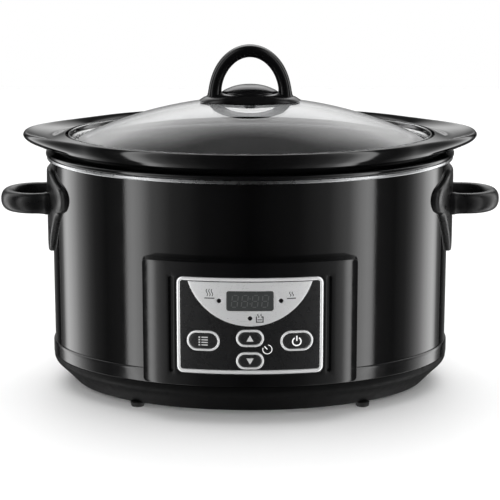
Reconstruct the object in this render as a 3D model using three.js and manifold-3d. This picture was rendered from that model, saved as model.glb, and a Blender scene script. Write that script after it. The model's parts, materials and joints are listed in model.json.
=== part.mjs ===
// An oval slow cooker: heated base, lift-out stoneware crock, glass lid and a press-button
// control panel. Millimetres, +Z up, the front towards -Y. The origin is on the table,
// under the middle of the oval body.

import * as THREE from 'three';
import { mergeVertices } from 'three/addons/utils/BufferGeometryUtils.js';
import Module from 'manifold-3d';

const wasm = await Module();
wasm.setup();

// ---------------------------------------------------------------- driving dimensions

const wallHalfLength = 158.5; // painted wall, along X
const wallHalfWidth = 111; // painted wall, along Y
const ovalSteps = 36; // facets round every oval
const clearance = 0.3; // between pieces that touch
const slidingClearance = 0.35; // round a piece that moves

const baseUnderside = 4; // the feet hold the base this far off the table
const creaseHeight = 17.8; // where the gloss band turns into the dark taper
const seamHeight = 36; // top of the base moulding
const wallTop = 184;
const wallThickness = 1.2;
const wallGrooveDepth = 5;
const bandStandOut = 1.4;

const ringHeight = 2.9;
const ringStandOut = 3.6;
const linerLipThickness = 2.9;
const linerLipStandOut = 4.4;
const linerInset = 8.5; // liner's outside, in from the wall's outside
const linerThickness = 1;
const linerBottom = 45;
const bandLift = 17; // heating band above the liner's underside
const bandHeight = 36;
const bandThickness = 1.2;

const crockGap = 2.5; // between the liner's inside and the crock
const crockWall = 7;
const crockLift = 7; // crock's underside above the liner's
const crockFloor = 9;
const collarStandOut = 2.5;
const collarHeight = 15.9;
const wingReach = 19; // carrying wing, out beyond the collar at each end
const wingSpread = 0.6; // sine of the oval angle where the wing dies out
const lidSeatDepth = 8.6; // below the top of the collar

const domeRise = 32.3; // from the edge of the dome up to its middle
const domeEdgeLift = 1.2; // edge of the dome above the lid's seat
const glassThickness = 3.6;
const lidHoleRadius = 3.2;
const lidFlatRadius = 10; // flat round the screw, above and below the glass
const lidWasherRadius = 9;

const dishHalfLength = 40.3;
const dishHalfWidth = 25;
const dishHeight = 4.5; // saucer's shoulder above the top of the glass
const capHalfLength = 22.5;
const capHalfWidth = 18;
const capRise = 4.7;
const archHalfWidth = 33;
const archHeight = 40.7; // above its feet
const archFootLift = 2; // feet of the arch above the top of the glass
const archThickness = 10;
const archDepth = 13;

const handleStandOut = 41.5; // side handle, out from the end of the wall
const handleHalfDepth = 28;
const handleBar = 11.5;
const handleThickness = 16.4;
const handleDrop = 25.1; // loop's top below the top of the wall
const mountThickness = 4;
const mountHalfWidth = 50;
const mountHeight = 67.5;
const mountDrop = 7; // plate's top below the top of the wall

const panelHalfLength = 55.5;
const panelBottom = 39.7;
const panelHeight = 75;
const panelCorner = 5;
const housingEndMargin = 26.1; // housing beyond the panel
const housingTopMargin = 11.3;
const housingBottomMargin = 9.7;
const housingStandOut = 12;
const housingWall = 2.6;
const grooveMargin = 3.5; // groove's middle, out from the panel's end
const grooveWidth = 2.6;
const grooveDepth = 1.8;

const bezelWidth = 2.8;
const bezelRecess = 0.4; // faces behind the housing's
const fasciaRecess = 2;
const fasciaThickness = 2.4;
const arcStandOut = 0.9; // silver panel's face in front of the fascia's
const arcTopMargin = 3.5; // silver panel, in from the whole panel's edges
const arcEndMargin = 8.7;
const arcHeight = 33.9;

const displayHalfLength = 17.5;
const displayHeight = 14.8;
const displayTopMargin = 10.5;
const lightRadius = 1.5;
const lightGap = 5.8; // lights out from the display, at its sides and below it
const warmLightGap = 6;
const buttonRingWidth = 1.6;
const buttonStandOut = 1.9; // button's face in front of the fascia's
const buttonTravel = 1;
const buttonFlange = 1; // thickness of the flange behind a button's ring
const wideButton = { length: 25, height: 15.7 };
const smallButton = { length: 21.2, height: 13.3 };
const sideButtonInset = 20.2; // from the panel's end
const sideButtonHeight = 25.6; // button's middle above the panel's bottom
const upButtonHeight = 28.1;
const downButtonHeight = 10.5;

const boardThickness = 1.6;
const boardEndInset = 7.5; // control board, in from the panel's edges
const boardBottomInset = 4.3;
const boardTopInset = 4.7;
const switchHeight = 3.5;
const switchHalfWidth = 3;
const powerBoardLift = 13.1; // above the bottom cover
const powerBoardHalf = { x: 56, y: 36 };
const sensorInset = 49; // sensor's middle, in from the back of the wall

const footRadius = 5.6;
const footInset = 5; // foot's middle, in from the base's bottom edge
const footAngle = 50.7; // degrees round the oval
const coverThickness = 2.4;
const coverScrewInset = 20.4;
const coverScrewAngle = 37.5;
const glandRadius = 6.5;
const glandFlange = 2.4; // collar's width, inside and outside the wall
const cordRadius = 3.2;

// ---------------------------------------------------------------- places that follow from them

// The middle of a facet lies up to this far inside its oval.
const facetSag = wallHalfLength * (1 - Math.cos(Math.PI / ovalSteps));

const ringBottom = wallTop + clearance;
const ringTop = ringBottom + ringHeight;
const lipBottom = ringTop + clearance;
const lipTop = lipBottom + linerLipThickness;
const linerInside = -linerInset - linerThickness;

const crockInset = linerInset + linerThickness + crockGap;
const crockInside = -crockInset - crockWall;
const crockBottom = linerBottom + crockLift;
const collarBottom = lipTop + clearance;
const collarTop = collarBottom + collarHeight;
const seatHeight = collarTop - lidSeatDepth;
const seatOffset = -crockInset;

const domeOffset = crockInside - 0.5;
const domeHalfLength = wallHalfLength + domeOffset;
const domeHalfWidth = wallHalfWidth + domeOffset;
const lidHeightAtTop = seatHeight + domeEdgeLift + domeRise;
const lidUnderside = lidHeightAtTop - glassThickness;
const dishShare = Math.min(dishHalfLength / domeHalfLength, dishHalfWidth / domeHalfWidth);
const dishRim = lidHeightAtTop - domeRise * dishShare * dishShare + clearance;
const dishTop = lidHeightAtTop + dishHeight;
const archFoot = lidHeightAtTop + archFootLift;

const handleReach = wallHalfLength + handleStandOut;
const handleTop = wallTop - handleDrop;
const handleBottom = handleTop - handleThickness;
const handleMiddle = (handleBottom + handleTop) / 2;
const screwY = handleHalfDepth - handleBar / 2;
const handleScrewHole = 2.2;
const mountTop = wallTop - mountDrop;
const mountBottom = mountTop - mountHeight;
const glandHeight = seamHeight + glandRadius + glandFlange + 1.5;

const panelTop = panelBottom + panelHeight;
const panelMiddle = (panelBottom + panelTop) / 2;
const housingHalfLength = panelHalfLength + housingEndMargin;
const housingHeight = panelHeight + housingBottomMargin + housingTopMargin;
const housingMiddle = panelBottom - housingBottomMargin + housingHeight / 2;
const bezelFace = housingStandOut - bezelRecess;
const fasciaFace = housingStandOut - fasciaRecess;
const fasciaBack = fasciaFace - fasciaThickness;
const ledgeFace = fasciaBack - clearance;
const ledgeWidth = 3.5;
const arcFace = fasciaFace + arcStandOut;
const arcTop = panelTop - arcTopMargin;
const arcHalfLength = panelHalfLength - arcEndMargin;
const displayTop = panelTop - displayTopMargin;
const displayBottom = displayTop - displayHeight;
const displayMiddle = (displayBottom + displayTop) / 2;
const buttonFace = fasciaFace + buttonStandOut;
const flangeFace = fasciaBack - clearance;
const flangeBack = flangeFace - buttonFlange;
const sideButtonX = panelHalfLength - sideButtonInset;

const boardHalfLength = panelHalfLength - boardEndInset;
const boardBottom = panelBottom + boardBottomInset;
const boardTop = panelTop - boardTopInset;
const flangeDistance = faceDistance(flangeBack, sideButtonX + switchHalfWidth) - facetSag;
const switchFace = flangeDistance - buttonTravel - clearance;
const boardFront = switchFace - switchHeight - clearance;

// ---------------------------------------------------------------- finishes

function finish(color, roughness, metalness) {
  return new THREE.MeshStandardMaterial({ color, roughness, metalness });
}

const glossBlack = finish(0x0b0b0c, 0.12, 0);
const satinBlack = finish(0x141415, 0.45, 0);
const glazedBlack = finish(0x0a0a0b, 0.08, 0);
const smokedGlass = finish(0x9a9ea0, 0.05, 0);
const polishedSteel = finish(0xc8cacc, 0.2, 1);
const brushedSilver = finish(0xb4b6b8, 0.35, 1);
const fasciaGrey = finish(0x38393b, 0.5, 0);
const darkLens = finish(0x1c2222, 0.1, 0);
const lightLens = finish(0x8c8f8f, 0.2, 0);
const blackRubber = finish(0x101010, 0.85, 0);
const boardGreen = finish(0x1f5a35, 0.5, 0);
const copper = finish(0xa8683c, 0.4, 1);
const zincSteel = finish(0x9fa2a4, 0.4, 1);
const partGrey = finish(0x55585a, 0.55, 0);

// ---------------------------------------------------------------- making solids

/** A closed geometry as a solid, its faces turned outwards. */
function solid(geometry) {
  geometry.deleteAttribute('normal');
  geometry.deleteAttribute('uv');
  const merged = mergeVertices(geometry, 1e-4);
  const position = merged.getAttribute('position');
  const index = merged.getIndex().array;
  const corner = (i) => new THREE.Vector3().fromBufferAttribute(position, i);
  const faces = [];
  let volume = 0;
  for (let i = 0; i < index.length; i += 3) {
    const [a, b, c] = [index[i], index[i + 1], index[i + 2]];
    if (a === b || b === c || c === a) continue;
    faces.push([a, b, c]);
    volume += corner(a).dot(corner(b).cross(corner(c)));
  }
  const turned = volume < 0 ? faces.map(([a, b, c]) => [a, c, b]) : faces;
  const mesh = new wasm.Mesh({
    numProp: 3,
    vertProperties: new Float32Array(position.array),
    triVerts: new Uint32Array(turned.flat()),
  });
  return new wasm.Manifold(mesh);
}

function geometryOf(piece) {
  const mesh = piece.getMesh();
  const geometry = new THREE.BufferGeometry();
  geometry.setAttribute('position', new THREE.BufferAttribute(mesh.vertProperties, 3));
  geometry.setIndex(new THREE.BufferAttribute(mesh.triVerts, 1));
  geometry.computeVertexNormals();
  return geometry;
}

const cooker = new THREE.Group();

function add(name, piece, material) {
  const mesh = new THREE.Mesh(geometryOf(piece), material);
  mesh.name = name;
  cooker.add(mesh);
}

const join = (first, ...others) => others.reduce((sum, piece) => sum.add(piece), first);
const cut = (first, ...others) => others.reduce((rest, piece) => rest.subtract(piece), first);

// ---------------------------------------------------------------- ovals

/** One ring of an oval solid, at an offset from the wall's oval, with an optional wing. */
function at(offset, z, wing = 0) {
  return { halfLength: wallHalfLength + offset, halfWidth: wallHalfWidth + offset, z, wing };
}

function ring(halfLength, halfWidth, z) {
  return { halfLength, halfWidth, z, wing: 0 };
}

const onAxis = (z) => ring(0, 0, z);

/** The wing's share of its full reach at an angle round the oval. */
function wingShare(angle) {
  return Math.max(0, 1 - (Math.sin(angle) / wingSpread) ** 2) ** 2;
}

/** A solid with an oval plan: rings joined in order, from axis to axis or back to the first. */
function oval(rings) {
  const closedOnAxis = rings[0].halfLength === 0;
  const profile = closedOnAxis ? rings : [...rings, rings[0]];
  const points = profile.map((each) => new THREE.Vector2(each.halfLength, each.z));
  const geometry = new THREE.LatheGeometry(points, ovalSteps);
  const position = geometry.getAttribute('position');
  for (let step = 0; step <= ovalSteps; step += 1) {
    const angle = ((step % ovalSteps) / ovalSteps) * 2 * Math.PI;
    profile.forEach((each, j) => {
      const reach = Math.sign(Math.cos(angle)) * each.wing * wingShare(angle);
      const x = each.halfLength * Math.cos(angle) + reach;
      const y = each.halfWidth * Math.sin(angle);
      position.setXYZ(step * profile.length + j, x, y, each.z);
    });
  }
  return solid(geometry);
}

/** The space between two offsets of the wall's oval, from one height to another. */
function shell(inner, outer, bottom, top) {
  return oval([at(inner, bottom), at(outer, bottom), at(outer, top), at(inner, top)]);
}

// ---------------------------------------------------------------- outlines

/** A rectangle with rounded corners, by its middle and its full size. */
function roundedBox(x, y, length, height, corner) {
  const [left, right] = [x - length / 2, x + length / 2];
  const [low, high] = [y - height / 2, y + height / 2];
  const shape = new THREE.Shape();
  shape.moveTo(left + corner, low);
  shape.absarc(right - corner, low + corner, corner, -Math.PI / 2, 0);
  shape.absarc(right - corner, high - corner, corner, 0, Math.PI / 2);
  shape.absarc(left + corner, high - corner, corner, Math.PI / 2, Math.PI);
  shape.absarc(left + corner, low + corner, corner, Math.PI, Math.PI * 1.5);
  return shape;
}

function stadium(x, y, length, height) {
  return roundedBox(x, y, length, height, height / 2 - 0.01);
}

function circle(x, y, radius) {
  const shape = new THREE.Shape();
  shape.absarc(x, y, radius, 0, Math.PI * 2);
  return shape;
}

const frontReach = wallHalfWidth + 40;

/** An outline in X and Z, carried along Y right through the front of the body. */
function frontPrism(outline, curveSegments = 3) {
  const geometry = new THREE.ExtrudeGeometry(outline, {
    depth: frontReach - wallHalfWidth / 2,
    bevelEnabled: false,
    curveSegments,
  });
  geometry.rotateX(Math.PI / 2);
  geometry.translate(0, -wallHalfWidth / 2, 0);
  return solid(geometry);
}

/** A plate with a front outline that curves with the body, between two offsets. */
function frontPlate(outline, inner, outer, curveSegments) {
  const layer = shell(inner, outer, 0, wallTop);
  return frontPrism(outline, curveSegments).intersect(layer);
}

/** An outline in Y and Z, carried along X. */
function sidePrism(outline, from, to) {
  const geometry = new THREE.ExtrudeGeometry(outline, {
    depth: to - from,
    bevelEnabled: false,
    curveSegments: 6,
  });
  const yzx = new THREE.Matrix4().makeBasis(
    new THREE.Vector3(0, 1, 0),
    new THREE.Vector3(0, 0, 1),
    new THREE.Vector3(1, 0, 0),
  );
  geometry.applyMatrix4(yzx);
  geometry.translate(from, 0, 0);
  return solid(geometry);
}

/** An outline in X and Y, carried up from one height to another. */
function upPrism(outline, bottom, top) {
  const geometry = new THREE.ExtrudeGeometry(outline, {
    depth: top - bottom,
    bevelEnabled: false,
    curveSegments: 1,
  });
  geometry.translate(0, 0, bottom);
  return solid(geometry);
}

function block(xRange, yRange, zRange) {
  const size = [xRange, yRange, zRange].map(([low, high]) => high - low);
  const middle = [xRange, yRange, zRange].map(([low, high]) => (low + high) / 2);
  const geometry = new THREE.BoxGeometry(...size);
  geometry.translate(...middle);
  return solid(geometry);
}

/** A turned piece round an upright axis, from [radius, z] points. */
function turned(points, x = 0, y = 0, steps = 12) {
  const profile = points.map(([radius, z]) => new THREE.Vector2(radius, z));
  const geometry = new THREE.LatheGeometry(profile, steps);
  geometry.rotateX(Math.PI / 2);
  geometry.translate(x, y, 0);
  return solid(geometry);
}

function post(x, y, radius, bottom, top, steps = 12) {
  return turned([[0, bottom], [radius, bottom], [radius, top], [0, top]], x, y, steps);
}

/** A turned piece round an axis along Y, from [radius, y] points. */
function turnedAlongY(points, x, z, steps = 12) {
  const profile = points.map(([radius, y]) => new THREE.Vector2(radius, y));
  const geometry = new THREE.LatheGeometry(profile, steps);
  geometry.translate(x, 0, z);
  return solid(geometry);
}

/** A turned piece round an axis along X, from [radius, x] points. */
function turnedAlongX(points, y, z, steps = 12) {
  const profile = points.map(([radius, x]) => new THREE.Vector2(radius, x));
  const geometry = new THREE.LatheGeometry(profile, steps);
  geometry.rotateZ(-Math.PI / 2);
  geometry.translate(0, y, z);
  return solid(geometry);
}

/** Distance in front of the middle, at x, of the face at an offset from the wall's oval. */
function faceDistance(offset, x) {
  const share = x / (wallHalfLength + offset);
  return (wallHalfWidth + offset) * Math.sqrt(1 - share * share);
}

// ---------------------------------------------------------------- wall, trim ring and liner

function outerWrap() {
  const bottom = seamHeight - wallGrooveDepth + clearance;
  const wall = shell(-wallThickness, 0, bottom, wallTop);
  const opening = roundedBox(0, (boardBottom + boardTop) / 2, 2 * boardHalfLength + 8,
    boardTop - boardBottom + 4, panelCorner);
  const holes = [-screwY, screwY].map((y) => {
    const reach = wallHalfLength + 5;
    const ends = [[0, -reach], [handleScrewHole, -reach], [handleScrewHole, reach], [0, reach]];
    return turnedAlongX(ends, y, handleMiddle);
  });
  const glandHole = turnedAlongY([
    [0, wallHalfWidth / 2],
    [glandRadius + clearance, wallHalfWidth / 2],
    [glandRadius + clearance, wallHalfWidth + 5],
    [0, wallHalfWidth + 5],
  ], 0, glandHeight);
  return cut(wall, frontPrism(opening), ...holes, glandHole);
}

function topTrimRing() {
  const edge = 0.9;
  return oval([
    at(-wallThickness, ringBottom),
    at(ringStandOut - edge, ringBottom),
    at(ringStandOut, ringBottom + edge),
    at(ringStandOut, ringTop - edge),
    at(ringStandOut - edge, ringTop),
    at(-wallThickness, ringTop),
  ]);
}

function heatingLiner() {
  const radius = 14;
  return oval([
    onAxis(linerBottom),
    at(-linerInset - radius, linerBottom),
    at(-linerInset - radius * 0.3, linerBottom + radius * 0.3),
    at(-linerInset, linerBottom + radius),
    at(-linerInset, lipBottom),
    at(linerLipStandOut, lipBottom),
    at(linerLipStandOut, lipTop),
    at(linerInside, lipTop),
    at(linerInside, linerBottom + radius),
    at(linerInside - radius * 0.3, linerBottom + radius * 0.3 + linerThickness),
    at(linerInside - radius, linerBottom + linerThickness),
    onAxis(linerBottom + linerThickness),
  ]);
}

function heatingBand() {
  const inner = -linerInset + clearance;
  const bottom = linerBottom + bandLift;
  return shell(inner, inner + bandThickness, bottom, bottom + bandHeight);
}

// ---------------------------------------------------------------- crock

function stonewareCrock() {
  const taper = 3;
  const corner = 14;
  return oval([
    onAxis(crockBottom),
    at(-crockInset - taper - corner, crockBottom),
    at(-crockInset - taper - corner * 0.3, crockBottom + corner * 0.3),
    at(-crockInset - taper, crockBottom + corner),
    at(-crockInset, collarBottom),
    at(-2, collarBottom),
    at(-0.5, collarBottom + 2.2, wingReach * 0.2),
    at(1.4, collarBottom + 5.8, wingReach * 0.62),
    at(collarStandOut - 0.3, collarBottom + 9.8, wingReach * 0.92),
    at(collarStandOut, collarTop - 2.4, wingReach),
    at(collarStandOut - 1.4, collarTop, wingReach * 0.97),
    at(-5, collarTop - 2.4, wingReach * 0.45),
    at(seatOffset + 1, collarTop - 2),
    at(seatOffset, seatHeight),
    at(crockInside, seatHeight),
    at(crockInside - taper, crockBottom + crockFloor + corner),
    at(crockInside - taper - corner * 0.3, crockBottom + crockFloor + corner * 0.3),
    at(crockInside - taper - corner, crockBottom + crockFloor),
    onAxis(crockBottom + crockFloor),
  ]);
}

// ---------------------------------------------------------------- lid

/** A ring of the dome at a share of the way from its middle to its edge, falling as a parabola. */
function domeRing(share, drop = 0) {
  const z = lidHeightAtTop - domeRise * share * share - drop;
  return ring(domeHalfLength * share, domeHalfWidth * share, z);
}

function lidGlass() {
  const flangeUnder = seatHeight + clearance;
  const flangeTop = flangeUnder + 2.4;
  const edge = seatOffset - 1;
  const beadTop = flangeUnder + 6;
  return oval([
    ring(lidHoleRadius, lidHoleRadius, lidHeightAtTop),
    ring(lidFlatRadius, lidFlatRadius, lidHeightAtTop),
    domeRing(0.3),
    domeRing(0.52),
    domeRing(0.7),
    domeRing(0.86),
    domeRing(1),
    at(edge - 3, flangeTop),
    at(edge - 1.8, beadTop - 0.6),
    at(edge - 0.6, beadTop),
    at(edge, beadTop - 1),
    at(edge, flangeUnder),
    at(crockInside - clearance - 0.1, flangeUnder),
    at(domeOffset - 0.2, lidHeightAtTop - domeRise - glassThickness + 0.8),
    domeRing(0.86, glassThickness),
    domeRing(0.6, glassThickness),
    domeRing(0.3, glassThickness),
    ring(lidFlatRadius, lidFlatRadius, lidUnderside),
    ring(lidHoleRadius, lidHoleRadius, lidUnderside),
  ]);
}

const lidScrewRadius = 2.4;
const lidScrewTop = dishTop - 1;

function lidHandle() {
  const saucer = oval([
    onAxis(lidHeightAtTop + clearance),
    ring(dishHalfLength * 0.5, dishHalfWidth * 0.5, lidHeightAtTop + 0.2),
    ring(dishHalfLength - 0.8, dishHalfWidth - 0.8, dishRim),
    ring(dishHalfLength, dishHalfWidth, dishRim + 0.7),
    ring(dishHalfLength - 1, dishHalfWidth - 1, dishRim + 1.6),
    ring(dishHalfLength - 9, dishHalfWidth - 4, dishRim + 4.6),
    ring(capHalfLength, capHalfWidth, dishTop),
    ring(capHalfLength * 0.66, capHalfWidth * 0.66, dishTop + capRise * 0.6),
    ring(capHalfLength * 0.3, capHalfWidth * 0.3, dishTop + capRise * 0.93),
    onAxis(dishTop + capRise),
  ]);
  const round = 3;
  const outerX = archHalfWidth - round;
  const outerZ = archHeight - round;
  const innerX = archHalfWidth - archThickness + round;
  const innerZ = archHeight - archThickness + round;
  const outline = new THREE.Shape();
  outline.moveTo(outerX, -2);
  outline.absellipse(0, 0, outerX, outerZ, 0, Math.PI);
  outline.lineTo(-outerX, -2);
  outline.lineTo(-innerX, -2);
  outline.absellipse(0, 0, innerX, innerZ, Math.PI, 0, true);
  outline.lineTo(innerX, -2);
  const bow = new THREE.ExtrudeGeometry(outline, {
    depth: archDepth - 2 * round,
    bevelThickness: round,
    bevelSize: round,
    bevelSegments: 1,
    curveSegments: 9,
  });
  bow.rotateX(Math.PI / 2);
  bow.translate(0, archDepth / 2 - round, archFoot);
  const hole = post(0, 0, lidScrewRadius + clearance, lidHeightAtTop - 2, lidScrewTop + clearance);
  const underDish = oval([
    onAxis(0),
    ring(dishHalfLength + 9, dishHalfWidth + 9, 0),
    ring(dishHalfLength + 9, dishHalfWidth + 9, dishRim - 1),
    ring(dishHalfLength * 0.5, dishHalfWidth * 0.5, lidHeightAtTop + 0.2),
    onAxis(lidHeightAtTop + clearance),
  ]);
  return cut(join(saucer, solid(bow)), underDish, hole);
}

const washerTop = lidUnderside - clearance;
const washerThickness = 1.2;

function lidWasher() {
  const inner = lidScrewRadius + clearance;
  const bottom = washerTop - washerThickness;
  const outer = lidWasherRadius;
  return turned([
    [inner, bottom],
    [outer, bottom],
    [outer, washerTop],
    [inner, washerTop],
    [inner, bottom],
  ]);
}

function lidScrew() {
  const headTop = washerTop - washerThickness - clearance;
  return turned([
    [0, headTop - 3.2],
    [3.4, headTop - 3.2],
    [4.8, headTop - 1.8],
    [4.8, headTop],
    [lidScrewRadius, headTop],
    [lidScrewRadius, lidScrewTop],
    [0, lidScrewTop],
  ]);
}

// ---------------------------------------------------------------- side handles

function mountOutline() {
  const ear = (mountBottom + mountTop) / 2 + 14.5;
  const right = [
    [14, mountBottom + 0.6],
    [19, mountBottom + 5],
    [mountHalfWidth * 0.76, ear - 14.5],
    [mountHalfWidth * 0.92, ear - 8.5],
    [mountHalfWidth, ear],
    [mountHalfWidth * 0.92, ear + 8],
    [mountHalfWidth * 0.72, ear + 13.5],
    [20, mountTop],
  ];
  const left = right.map(([y, z]) => [-y, z]).reverse();
  return new THREE.Shape([...right, ...left].map(([y, z]) => new THREE.Vector2(y, z)));
}

const handleScrewRadius = 1.7;
const handleScrewHead = 3.4;

/** The right-hand handle: a flat loop that grows out of a plate curved to the wall. */
function sideHandle() {
  const plate = sidePrism(mountOutline(), wallHalfLength / 2, wallHalfLength + 20)
    .intersect(shell(clearance, mountThickness, mountBottom - 5, mountTop + 5));
  const round = 3.2;
  const endRadius = handleHalfDepth - round;
  const endX = handleReach - round - (endRadius - 4);
  const rootX = wallHalfLength - 30;
  const outline = new THREE.Shape();
  outline.moveTo(rootX, -endRadius);
  outline.lineTo(endX, -endRadius);
  outline.absellipse(endX, 0, endRadius - 4, endRadius, -Math.PI / 2, Math.PI / 2);
  outline.lineTo(rootX, endRadius);
  const gapRadius = handleHalfDepth - handleBar + round;
  const gapX = handleReach - handleBar + round - gapRadius;
  const gap = new THREE.Path();
  gap.moveTo(rootX + 8, -gapRadius);
  gap.lineTo(gapX, -gapRadius);
  gap.absarc(gapX, 0, gapRadius, -Math.PI / 2, Math.PI / 2);
  gap.lineTo(rootX + 8, gapRadius);
  outline.holes.push(gap);
  const loop = new THREE.ExtrudeGeometry(outline, {
    depth: handleTop - handleBottom - 2 * round,
    bevelThickness: round,
    bevelSize: round,
    bevelSegments: 2,
    curveSegments: 8,
  });
  loop.translate(0, 0, handleBottom + round);
  const body = oval([
    onAxis(mountBottom),
    at(clearance, mountBottom),
    at(clearance, mountTop),
    onAxis(mountTop),
  ]);
  const holes = [-screwY, screwY].map((y) => {
    const [start, tip] = [wallHalfLength / 2, wallHalfLength + 8];
    const hole = handleScrewRadius + clearance;
    return turnedAlongX([[0, start], [hole, start], [hole, tip], [0, tip]], y, handleMiddle);
  });
  return cut(join(plate, solid(loop).subtract(body)), ...holes);
}

function handleScrew(y) {
  const share = (Math.abs(y) + handleScrewHead) / (wallHalfWidth - wallThickness);
  const wallInside = (wallHalfLength - wallThickness) * Math.sqrt(1 - share * share) - facetSag;
  const headFace = wallInside - clearance;
  const tip = wallHalfLength + 8 - clearance;
  return turnedAlongX([
    [0, headFace - 2.4],
    [handleScrewHead, headFace - 2.4],
    [handleScrewHead, headFace],
    [handleScrewRadius, headFace],
    [handleScrewRadius, tip],
    [0, tip],
  ], y, handleMiddle, 10);
}

// ---------------------------------------------------------------- control housing and panel

function panelBox(inset) {
  const corner = Math.max(0.5, panelCorner - inset);
  return roundedBox(0, panelMiddle, 2 * (panelHalfLength - inset), panelHeight - 2 * inset, corner);
}

function controlHousing() {
  const outline = roundedBox(0, housingMiddle, 2 * housingHalfLength, housingHeight, 3);
  const whole = frontPlate(outline, clearance, housingStandOut);
  const pocket = frontPlate(panelBox(-clearance), ledgeFace, housingStandOut + 5);
  const window = frontPrism(panelBox(ledgeWidth));
  const behindOutline = roundedBox(0, housingMiddle, 2 * (housingHalfLength - housingWall),
    housingHeight - 2 * housingWall, 2);
  const behind = frontPlate(behindOutline, -5, ledgeFace - housingWall);
  const sideLength = housingHalfLength - panelHalfLength - 2 * housingWall - clearance;
  const sideX = panelHalfLength + clearance + housingWall + sideLength / 2;
  const sides = [-1, 1].map((side) => {
    const box = roundedBox(side * sideX, housingMiddle, sideLength,
      housingHeight - 2 * housingWall, 2);
    return frontPlate(box, -5, housingStandOut - housingWall);
  });
  const grooveX = panelHalfLength + grooveMargin;
  const grooves = [-1, 1].map((side) => {
    const slot = roundedBox(side * grooveX, panelMiddle, grooveWidth, panelHeight, 1);
    return frontPlate(slot, housingStandOut - grooveDepth, housingStandOut + 5, 2);
  });
  const overBand = oval([
    onAxis(0),
    at(bandStandOut + clearance, 0),
    at(bandStandOut + clearance, seamHeight + clearance),
    onAxis(seamHeight + clearance),
  ]);
  return cut(whole, pocket, window, behind, ...sides, ...grooves, overBand);
}

function bezelFrame() {
  const outline = panelBox(0);
  outline.holes.push(panelBox(bezelWidth));
  return frontPlate(outline, ledgeFace + clearance, bezelFace);
}

const buttons = [
  { name: 'menu', x: -sideButtonX, z: panelBottom + sideButtonHeight, ...wideButton },
  { name: 'up', x: 0, z: panelBottom + upButtonHeight, ...smallButton },
  { name: 'down', x: 0, z: panelBottom + downButtonHeight, ...smallButton },
  { name: 'power', x: sideButtonX, z: panelBottom + sideButtonHeight, ...wideButton },
];
const lights = [
  { name: 'high_heat_light', x: -displayHalfLength - lightGap, z: displayMiddle },
  { name: 'low_heat_light', x: displayHalfLength + lightGap, z: displayMiddle },
  { name: 'warm_light', x: 0, z: displayBottom - warmLightGap },
];

function displayBox(grow) {
  const [length, height] = [2 * (displayHalfLength + grow), displayHeight + 2 * grow];
  return roundedBox(0, displayMiddle, length, height, 1.5 + grow);
}

function fasciaPanel() {
  const outline = panelBox(bezelWidth + clearance);
  for (const { x, z, length, height } of buttons) {
    outline.holes.push(stadium(x, z, length + 2 * clearance, height + 2 * clearance));
  }
  for (const { x, z } of lights) {
    outline.holes.push(circle(x, z, lightRadius + clearance));
  }
  outline.holes.push(displayBox(clearance));
  return frontPlate(outline, fasciaBack, fasciaFace);
}

function arcPanel() {
  const radius = (arcHalfLength ** 2 + arcHeight ** 2) / (2 * arcHeight);
  const half = Math.asin(arcHalfLength / radius);
  const outline = new THREE.Shape();
  outline.absarc(0, arcTop - arcHeight + radius, radius, -Math.PI / 2 - half, -Math.PI / 2 + half);
  for (const { x, z } of lights) {
    outline.holes.push(circle(x, z, lightRadius + clearance));
  }
  outline.holes.push(displayBox(clearance));
  return frontPlate(outline, fasciaFace + clearance, arcFace, 10);
}

function displayLens() {
  return frontPlate(displayBox(0), arcFace - 1.6, arcFace + 0.2, 2);
}

function lightLensPiece({ x, z }) {
  const front = -faceDistance(arcFace + 0.3, x);
  return turnedAlongY([[0, front], [lightRadius, front], [lightRadius, front + 5], [0, front + 5]],
    x, z, 10);
}

function buttonRing({ x, z, length, height }) {
  const outline = stadium(x, z, length, height);
  outline.holes.push(stadium(x, z, length - 2 * buttonRingWidth, height - 2 * buttonRingWidth));
  return frontPlate(outline, fasciaBack + clearance, arcFace + 0.1);
}

/** A push button: cap, a flange that keeps it behind its ring, and a stem to its switch. */
function buttonPiece({ x, z, length, height }) {
  const trim = 2 * (buttonRingWidth + slidingClearance);
  const cap = frontPlate(stadium(x, z, length - trim, height - trim), flangeBack, buttonFace);
  const flange = frontPlate(stadium(x, z, length - 1, height - 1), flangeBack, flangeFace);
  const stemEnd = -(switchFace + buttonTravel + clearance);
  const stemStart = -faceDistance(flangeFace - 0.4, x);
  const stem = turnedAlongY([[0, stemStart], [2, stemStart], [2, stemEnd], [0, stemEnd]], x, z, 8);
  return join(cap, flange, stem);
}

// ---------------------------------------------------------------- electronics

function controlBoard() {
  return block([-boardHalfLength, boardHalfLength], [-boardFront, -boardFront + boardThickness],
    [boardBottom, boardTop]);
}

function switchPiece({ x, z }) {
  const half = switchHalfWidth;
  return block([x - half, x + half], [-switchFace, -boardFront - clearance], [z - half, z + half]);
}

function displayModule() {
  const back = -boardFront - clearance;
  const front = -faceDistance(fasciaBack - facetSag, displayHalfLength + 1);
  const reach = displayHalfLength + 1;
  return block([-reach, reach], [front, back], [displayBottom - 1, displayTop + 1]);
}

const powerBoardBottom = baseUnderside + coverThickness + powerBoardLift;
const powerBoardTop = powerBoardBottom + boardThickness;
const partFoot = powerBoardTop + clearance;

function powerBoard() {
  const { x, y } = powerBoardHalf;
  return block([-x, x], [-y, y], [powerBoardBottom, powerBoardTop]);
}

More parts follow.
